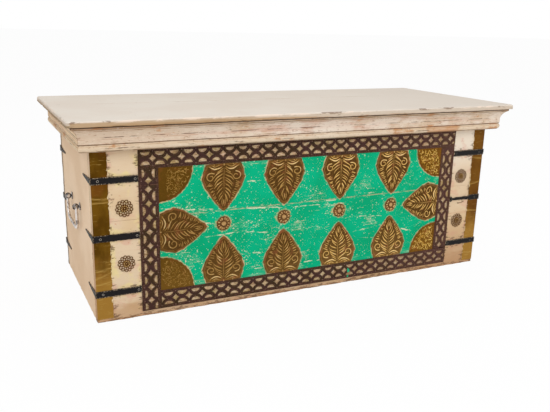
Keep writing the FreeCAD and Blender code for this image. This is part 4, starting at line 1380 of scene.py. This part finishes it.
rosetteWork = {"loops": 13, "loopRing": 15.6 * mm, "loop": 3.3 * mm, "wire": 0.85 * mm, "spokeEnd": 12.6 * mm,
               "plate": 8.8 * mm, "thickness": 0.9 * mm, "edge": 0.25 * mm, "rimRing": 8.2 * mm,
               "rim": 0.9 * mm, "rays": 10, "rayRing": 5.8 * mm, "ray": 1.1 * mm, "rayLong": 2.0,
               "rayHeight": 2.2 * mm, "eyeRing": 2.8 * mm, "eyeWire": 0.7 * mm, "eye": 1.4 * mm}


# A ring of wire loops on spokes round a disc with beaten rays and a beaded eye
def rosetteMesh():
    work = rosetteWork
    paths = [(circle(work["rimRing"], 20), [work["rim"]] * 20, True),
             (circle(work["eyeRing"], 12), [work["eyeWire"]] * 12, True)]
    for step in range(work["loops"]):
        angle = 2 * math.pi * step / work["loops"]
        across, up = math.cos(angle), math.sin(angle)
        loop = arc(across * work["loopRing"], up * work["loopRing"], work["loop"], 0, 2 * math.pi, 8)[:-1]
        paths.append((loop, [work["wire"]] * len(loop), True))
        spoke = [(across * reach, up * reach) for reach in (work["plate"], work["spokeEnd"])]
        paths.append((spoke, [work["wire"]] * 2, False))
    plate = sheetMesh(circle(work["plate"], 40), [], work["thickness"], work["edge"])
    bm = gathered([plate, ridgeMesh(paths, work["wire"] * 0.9, 0.9)])
    level = work["thickness"] * 0.8
    for step in range(work["rays"]):
        angle = 2 * math.pi * step / work["rays"]
        x = work["rayRing"] * math.cos(angle)
        y = work["rayRing"] * math.sin(angle)
        addDome(bm, x, y, level, work["ray"], work["rayHeight"], 5, 8, work["rayLong"], angle)
    addDome(bm, 0, 0, level, work["eye"], work["rayHeight"])
    return bm


flowerWork = {"petals": 13, "plate": 0.95, "petalRing": 0.70, "petal": 0.125, "petalHeight": 2.0 * mm,
              "petalLong": 1.7, "petalLevel": 0.8 * mm, "thickness": 0.9 * mm, "edge": 0.25 * mm,
              "scallop": 0.06, "eye": 0.34, "eyeHeight": 1.7 * mm, "seeds": 8, "seedRing": 0.24,
              "seed": 1.1 * mm, "seedLevel": 2.4 * mm, "scatter": 0.12}


# A ring of petals round a seeded eye; the shares are of the flower's radius
def flowerMesh():
    work = flowerWork
    outline = circle(flowerRadius * work["plate"], 44, work["scallop"], work["petals"])
    bm = gathered([sheetMesh(outline, [], work["thickness"], work["edge"])])
    for step in range(work["petals"]):
        angle = 2 * math.pi * step / work["petals"] + random.uniform(-1, 1) * work["scatter"]
        x = flowerRadius * work["petalRing"] * math.cos(angle)
        y = flowerRadius * work["petalRing"] * math.sin(angle)
        size = flowerRadius * work["petal"] * random.uniform(0.8, 1.15)
        addDome(bm, x, y, work["petalLevel"], size, work["petalHeight"], 6, 10, work["petalLong"], angle)
    addDome(bm, 0, 0, work["thickness"], flowerRadius * work["eye"], work["eyeHeight"], 7, 16)
    for step in range(work["seeds"]):
        angle = 2 * math.pi * step / work["seeds"]
        x = flowerRadius * work["seedRing"] * math.cos(angle)
        y = flowerRadius * work["seedRing"] * math.sin(angle)
        addDome(bm, x, y, work["seedLevel"], work["seed"], work["seed"])
    return bm


bossJitter = {"amount": 1.0 * mm, "scale": 110}


# Makes a mesh at each of several places on the front, all as one piece
def scattered(name, maker, places, material, node):
    whole = bmesh.new()
    for x, z, turn in places:
        bm = maker()
        ontoFront(bm, x, z, turn)
        addTo(whole, bm)
    wander(whole, bossJitter["amount"], bossJitter["scale"])
    addPiece(name, whole, material, "chest", [node])


def makeBosses():
    low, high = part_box("corner_rosettes")
    x = (brassInner + frameHalf) / 2
    radius = high.x - x
    places = [(side * x, z, 0.3 * side) for side in (-1, 1) for z in (low.z + radius, high.z - radius)]
    scattered("rosettes", rosetteMesh, places, "boss", "corner_rosettes")
    places = [(x, flowerHeight, 0.4 * index) for index, x in enumerate(columnPlaces)]
    scattered("flowers", flowerMesh, places, "flower", "panel_flowers")


brassReach = chestHalf - brassInner
stripWork = {"step": 2.2 * mm, "edge": 0.25 * mm, "wave": 0.25 * mm, "foldWidth": 2.2 * mm,
             "foldDepth": 0.7 * mm, "foldStray": 1.5 * mm, "edgeReach": 1 * mm, "raggedness": 1.6 * mm}
# Creases of the sheet: the height at the chest's corner and the rise towards the panel
stripFolds = {-1: [(281 * mm, -0.05), (272 * mm, 0.0), (118 * mm, 0.22), (103 * mm, 0.34), (88 * mm, 0.15)],
              1: [(300 * mm, 0.1), (236 * mm, -0.2), (152 * mm, 0.12), (30 * mm, 0.05)]}


# Thin brass sheet with a gentle waviness, creases across it and a ragged inner edge
def makeBrassStrips():
    for side, node in ((-1, "brass_strip_left"), (1, "brass_strip_right")):
        low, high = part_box(node)
        bm = boardMesh(low, high, stripWork["step"], stripWork["edge"])
        # Marks the creases for a painted highlight
        creaseHighlight = bm.verts.layers.float.new("creaseHighlight")
        for vert in bm.verts:
            inward = chestHalf - abs(vert.co.x)
            fold = 0
            for height, rise in stripFolds[side]:
                stray = stripWork["foldStray"] * noise.noise(vert.co * 60)
                away = abs(vert.co.z - height - rise * inward + stray)
                fold = max(fold, 1 - away / stripWork["foldWidth"])
            vert[creaseHighlight] = fold
            if vert.co.y < (low.y + high.y) / 2:
                dent = stripWork["wave"] * (1 + noise.noise(vert.co * 30))
                vert.co.y -= dent + stripWork["foldDepth"] * fold
            if inward > brassReach - stripWork["edgeReach"]:
                ripple = 0.5 + 0.5 * noise.noise(Vector((0, side, vert.co.z * 70)))
                vert.co.x += side * stripWork["raggedness"] * ripple
        addPiece("dented_" + node, bm, "sheet", "chest", [node])


strapWork = {"edge": 0.45 * mm, "step": 2.5 * mm, "chip": 1.6 * mm, "chipScale": 130, "thickness": 2 * mm,
             "nail": 2.1 * mm, "nailRim": 0.5 * mm, "nailHeight": 1.3 * mm, "cornerNail": 16 * mm,
             "innerNail": 7 * mm, "sideNail": 18 * mm, "paintedFrom": 432 * mm, "paintedTo": 490 * mm}


# The middle strap on the right is half covered by paint between the trim and the brass
def paintOver(bm):
    for vert in bm.verts:
        offset = vert.co.z - strapLevels[1]
        if abs(offset) < strapHeight and strapWork["paintedFrom"] < vert.co.x < strapWork["paintedTo"]:
            left = 0.5 + 0.4 * noise.noise(Vector((vert.co.x * 90, 0, math.copysign(4, offset))))
            vert.co.z = strapLevels[1] + offset * left


def makeStraps():
    heads = bmesh.new()
    for side, end in ((-1, "left"), (1, "right")):
        for face in ("front", "back"):
            node = f"corner_straps_{face}_{end}"
            bm = cleanCopy(node, strapWork["edge"], {axis: strapWork["step"] for axis in range(3)})
            roughen(bm, strapWork["chip"], strapWork["chipScale"])
            if node == "corner_straps_front_right":
                paintOver(bm)
            addPiece("forged_" + node, bm, "black", "chest", [node])
            low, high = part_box(node)
            outX = side * (chestHalf + strapWork["thickness"])
            outY = low.y if face == "front" else high.y
            depth = -1 if face == "front" else 1
            for level in strapLevels:
                for inset in (strapWork["cornerNail"], high.x - low.x - strapWork["innerNail"]):
                    addHead(heads, (outX - side * inset, outY, level), (0, depth, 0))
                wall = frontFace if face == "front" else backFace
                addHead(heads, (outX, wall - depth * strapWork["sideNail"], level), (side, 0, 0))
    addPiece("strap_nails", heads, "nail", "chest")


# A nail on a surface that faces along the given direction: a bright worn rim round a dark head
def addHead(bm, place, facing):
    head = bmesh.new()
    wear = head.verts.layers.float.new("wear")
    ring = bmesh.ops.create_circle(head, segments=6, radius=strapWork["nailRim"])
    turned = Matrix.Translation((strapWork["nail"], 0, 0)) @ Matrix.Rotation(math.pi / 2, 4, "X")
    bmesh.ops.transform(head, matrix=turned, verts=ring["verts"])
    bmesh.ops.spin(head, geom=head.verts[:] + head.edges[:], cent=(0, 0, 0), axis=(0, 0, 1),
                   angle=2 * math.pi, steps=14, use_merge=True)
    for vert in head.verts:
        vert[wear] = 1
    addDome(head, 0, 0, 0, strapWork["nail"] - strapWork["nailRim"] * 0.5, strapWork["nailHeight"], 5, 10)
    turn = Vector((0, 0, 1)).rotation_difference(Vector(facing)).to_matrix().to_4x4()
    bmesh.ops.transform(head, matrix=Matrix.Translation(place) @ turn, verts=head.verts)
    addTo(bm, head)


handleWork = {"bar": 3.45 * mm, "hammering": 0.12 * mm, "bend": 6 * mm, "corner": 20 * mm,
              "drop": 52 * mm, "barBelow": 3.5 * mm, "standoff": 10 * mm, "eyeSpacing": 108 * mm,
              "legOffset": 9 * mm, "endOverhang": 7 * mm, "endPast": 1 * mm, "eyeRadius": 5.9 * mm,
              "eyeTube": 1.75 * mm, "eyeWidth": 3.0 * mm, "plate": 9 * mm, "plateThickness": 1.6 * mm,
              "plateEdge": 0.5 * mm, "shank": 2.6 * mm}


# The middle of the line that a bail swings about
def swingCentre(side, name):
    low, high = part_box(name)
    height = low.z + handleWork["drop"] + handleWork["barBelow"]
    return Vector((side * (chestHalf + handleWork["standoff"]), (low.y + high.y) / 2, height))


# A bent bar, round and a little uneven, hanging from its two eyes
def makeBail(side, name):
    work = handleWork
    centre = swingCentre(side, name)
    eye = work["eyeSpacing"] / 2
    leg = eye + work["legOffset"]
    half = [(eye - work["endOverhang"], 0), (eye + work["endPast"], 0)]
    half += arc(leg - work["bend"], work["bend"], work["bend"], -math.pi / 2, 0, 5)
    half += [(leg, work["bend"] * 2.2)]
    half += arc(leg - work["corner"], work["drop"] - work["corner"], work["corner"], 0, math.pi / 2, 14)
    points = half + [(-across, down) for across, down in half[::-1]]
    curve = bpy.data.curves.new("bail", "CURVE")
    curve.dimensions = "3D"
    curve.bevel_depth = 1
    curve.bevel_resolution = 4
    curve.use_fill_caps = True
    spline = curve.splines.new("POLY")
    spline.points.add(len(points) - 1)
    for index, (corner, (across, down)) in enumerate(zip(spline.points, points)):
        corner.co = (centre.x, centre.y + across, centre.z - down, 1)
        swell = noise.noise(Vector((index * 0.45, side, 0))) - 1
        corner.radius = work["bar"] + work["hammering"] * swell
    bm = gathered([meshOfCurve(curve)])
    addPiece("forged_" + name, bm, "steel", name, [name])


# An eye with its shank through the end board and a plate on either side of it
def addEye(bm, side, centre):
    work = handleWork
    ring = bmesh.ops.create_circle(bm, segments=12, radius=1)["verts"]
    shape = Matrix.Diagonal((work["eyeTube"], work["eyeWidth"], 1, 1))
    bmesh.ops.transform(bm, matrix=Matrix.Translation((work["eyeRadius"], 0, 0)) @ shape, verts=ring)
    loop = [edge for edge in bm.edges if all(vert in ring for vert in edge.verts)]
    bmesh.ops.spin(bm, geom=ring + loop, cent=(0, 0, 0), axis=(0, 1, 0), angle=2 * math.pi, steps=28,
                   use_merge=True)
    reach = work["eyeRadius"] + work["eyeTube"] + work["eyeWidth"]
    fresh = [vert for vert in bm.verts if vert.co.length < reach]
    bmesh.ops.translate(bm, vec=centre, verts=fresh)

    inward = Matrix.Rotation(-side * math.pi / 2, 4, "Y")
    stemLength = work["standoff"] - work["eyeRadius"] + boardThickness
    stem = bmesh.ops.create_cone(bm, cap_ends=True, segments=8, radius1=work["shank"] * 0.9,
                                 radius2=work["shank"] * 0.8, depth=stemLength)["verts"]
    stemMiddle = centre - Vector((side * (work["eyeRadius"] + stemLength / 2), 0, 0))
    bmesh.ops.transform(bm, matrix=Matrix.Translation(stemMiddle) @ inward, verts=stem)
    outer = chestHalf + work["plateThickness"] / 2
    inner = chestHalf - boardThickness - work["plateThickness"] / 2
    for x in (outer, inner):
        plate = bmesh.ops.create_cone(bm, cap_ends=True, segments=18, radius1=work["plate"],
                                      radius2=work["plate"], depth=work["plateThickness"])["verts"]
        place = Matrix.Translation((side * x, centre.y, centre.z)) @ inward
        bmesh.ops.transform(bm, matrix=place, verts=plate)
        rims = [edge for edge in bm.edges if edge.verts[0] in plate and edge.calc_face_angle(0) > 1]
        bmesh.ops.bevel(bm, geom=rims, offset=work["plateEdge"], segments=2, profile=0.5, affect="EDGES",
                        material=-1)


def makeEyes():
    bm = bmesh.new()
    for side, name in ((-1, "bail_left"), (1, "bail_right")):
        for end in (-1, 1):
            offset = Vector((0, end * handleWork["eyeSpacing"] / 2, 0))
            addEye(bm, side, swingCentre(side, name) + offset)
    addPiece("forged_handle_eyes", bm, "eyeSteel", "chest", ["handle_eyes"])


# Nodes kept as the solids make them, by the starts of their names, for each material
carriedOver = {"woodZ": ("corner_post",), "woodX": ("floor_", "bottom_plank", "lid_batten")}


def finishCarriedNodes():
    for name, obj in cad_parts.items():
        for material, stems in carriedOver.items():
            if name.startswith(stems):
                obj.data.materials.clear()
                obj.data.materials.append(materials[material])


def makeHinges():
    for node, body in (("hinge_straps", "lid"), ("hinge_plates", "chest"), ("hinge_pins", "chest")):
        bm = cleanCopy(node, 0, {})
        markWear(bm)
        addPiece("worn_" + node, bm, "hinge", body, [node])


stage = {"floor": (0.90, 0.90, 0.90, 1), "reach": 50, "world": 0.62, "floorGlow": 0.95}


def makeStage():
    floor = bmesh.new()
    bmesh.ops.create_grid(floor, x_segments=1, y_segments=1, size=stage["reach"])
    mesh = bpy.data.meshes.new("floor")
    floor.to_mesh(mesh)
    floor.free()
    holder = bpy.data.objects.new("floor", mesh)
    bpy.context.scene.collection.objects.link(holder)
    finish = Finish("floor", {"Base Color": stage["floor"], "Roughness": 0.9, "Specular IOR Level": 0.1})
    rays = finish.add("LightPath", {}, {}, "Is Camera Ray")
    glow = finish.add("Emission", {}, {"Color": (1, 1, 1, 1), "Strength": 1})
    seenDirect = rays.most(rays.other("Is Glossy Ray")).most(rays.other("Is Transmission Ray"))
    body = Socket(finish, finish.shader, finish.shader.outputs[0])
    mixed = finish.add("MixShader", {}, {0: seenDirect * stage["floorGlow"], 1: body, 2: glow})
    output = finish.tree.nodes["Material Output"]
    finish.tree.links.new(mixed.output, output.inputs["Surface"])
    mesh.materials.append(finish.material)

    world = bpy.data.worlds.new("studio")
    world.use_nodes = True
    bpy.context.scene.world = world
    tree = world.node_tree
    back = tree.nodes["Background"]
    back.inputs["Color"].default_value = (1, 1, 1, 1)
    rays = tree.nodes.new("ShaderNodeLightPath")
    level = tree.nodes.new("ShaderNodeMapRange")
    level.inputs["To Min"].default_value = stage["world"]
    level.inputs["To Max"].default_value = 1
    tree.links.new(rays.outputs["Is Camera Ray"], level.inputs["Value"])
    tree.links.new(level.outputs["Result"], back.inputs["Strength"])


lampTarget = (0, 0, 0.2)
lamps = {
    "key": {"place": (-1.6, -2.4, 2.3), "size": 1.8, "power": 40},
    "fill": {"place": (1.9, -2.0, 1.3), "size": 1.8, "power": 16},
    "top": {"place": (0.2, 0.4, 2.6), "size": 2.2, "power": 14},
}


def makeLamps():
    for name, look in lamps.items():
        lamp = bpy.data.lights.new(name, "AREA")
        lamp.shape = "SQUARE"
        lamp.size = look["size"]
        lamp.energy = look["power"]
        holder = bpy.data.objects.new(name, lamp)
        holder.location = look["place"]
        towards = Vector(lampTarget) - Vector(look["place"])
        holder.rotation_euler = towards.to_track_quat("-Z", "Y").to_euler()
        bpy.context.scene.collection.objects.link(holder)


bpy.context.scene.view_settings.view_transform = "Standard"
setCamera()
makeStage()
makeLamps()
print("boards and lid")
makeBoards()
makeLid()
makeCornice()
print("iron trim")
makeLattice()
makeStraps()
print("brass")
makeBrassStrips()
makeLeaves()
makeFans()
makeBosses()
print("handles and hinges")
makeBail(-1, "bail_left")
makeBail(1, "bail_right")
makeEyes()
makeHinges()
finishCarriedNodes()

bpy.context.view_layer.update()
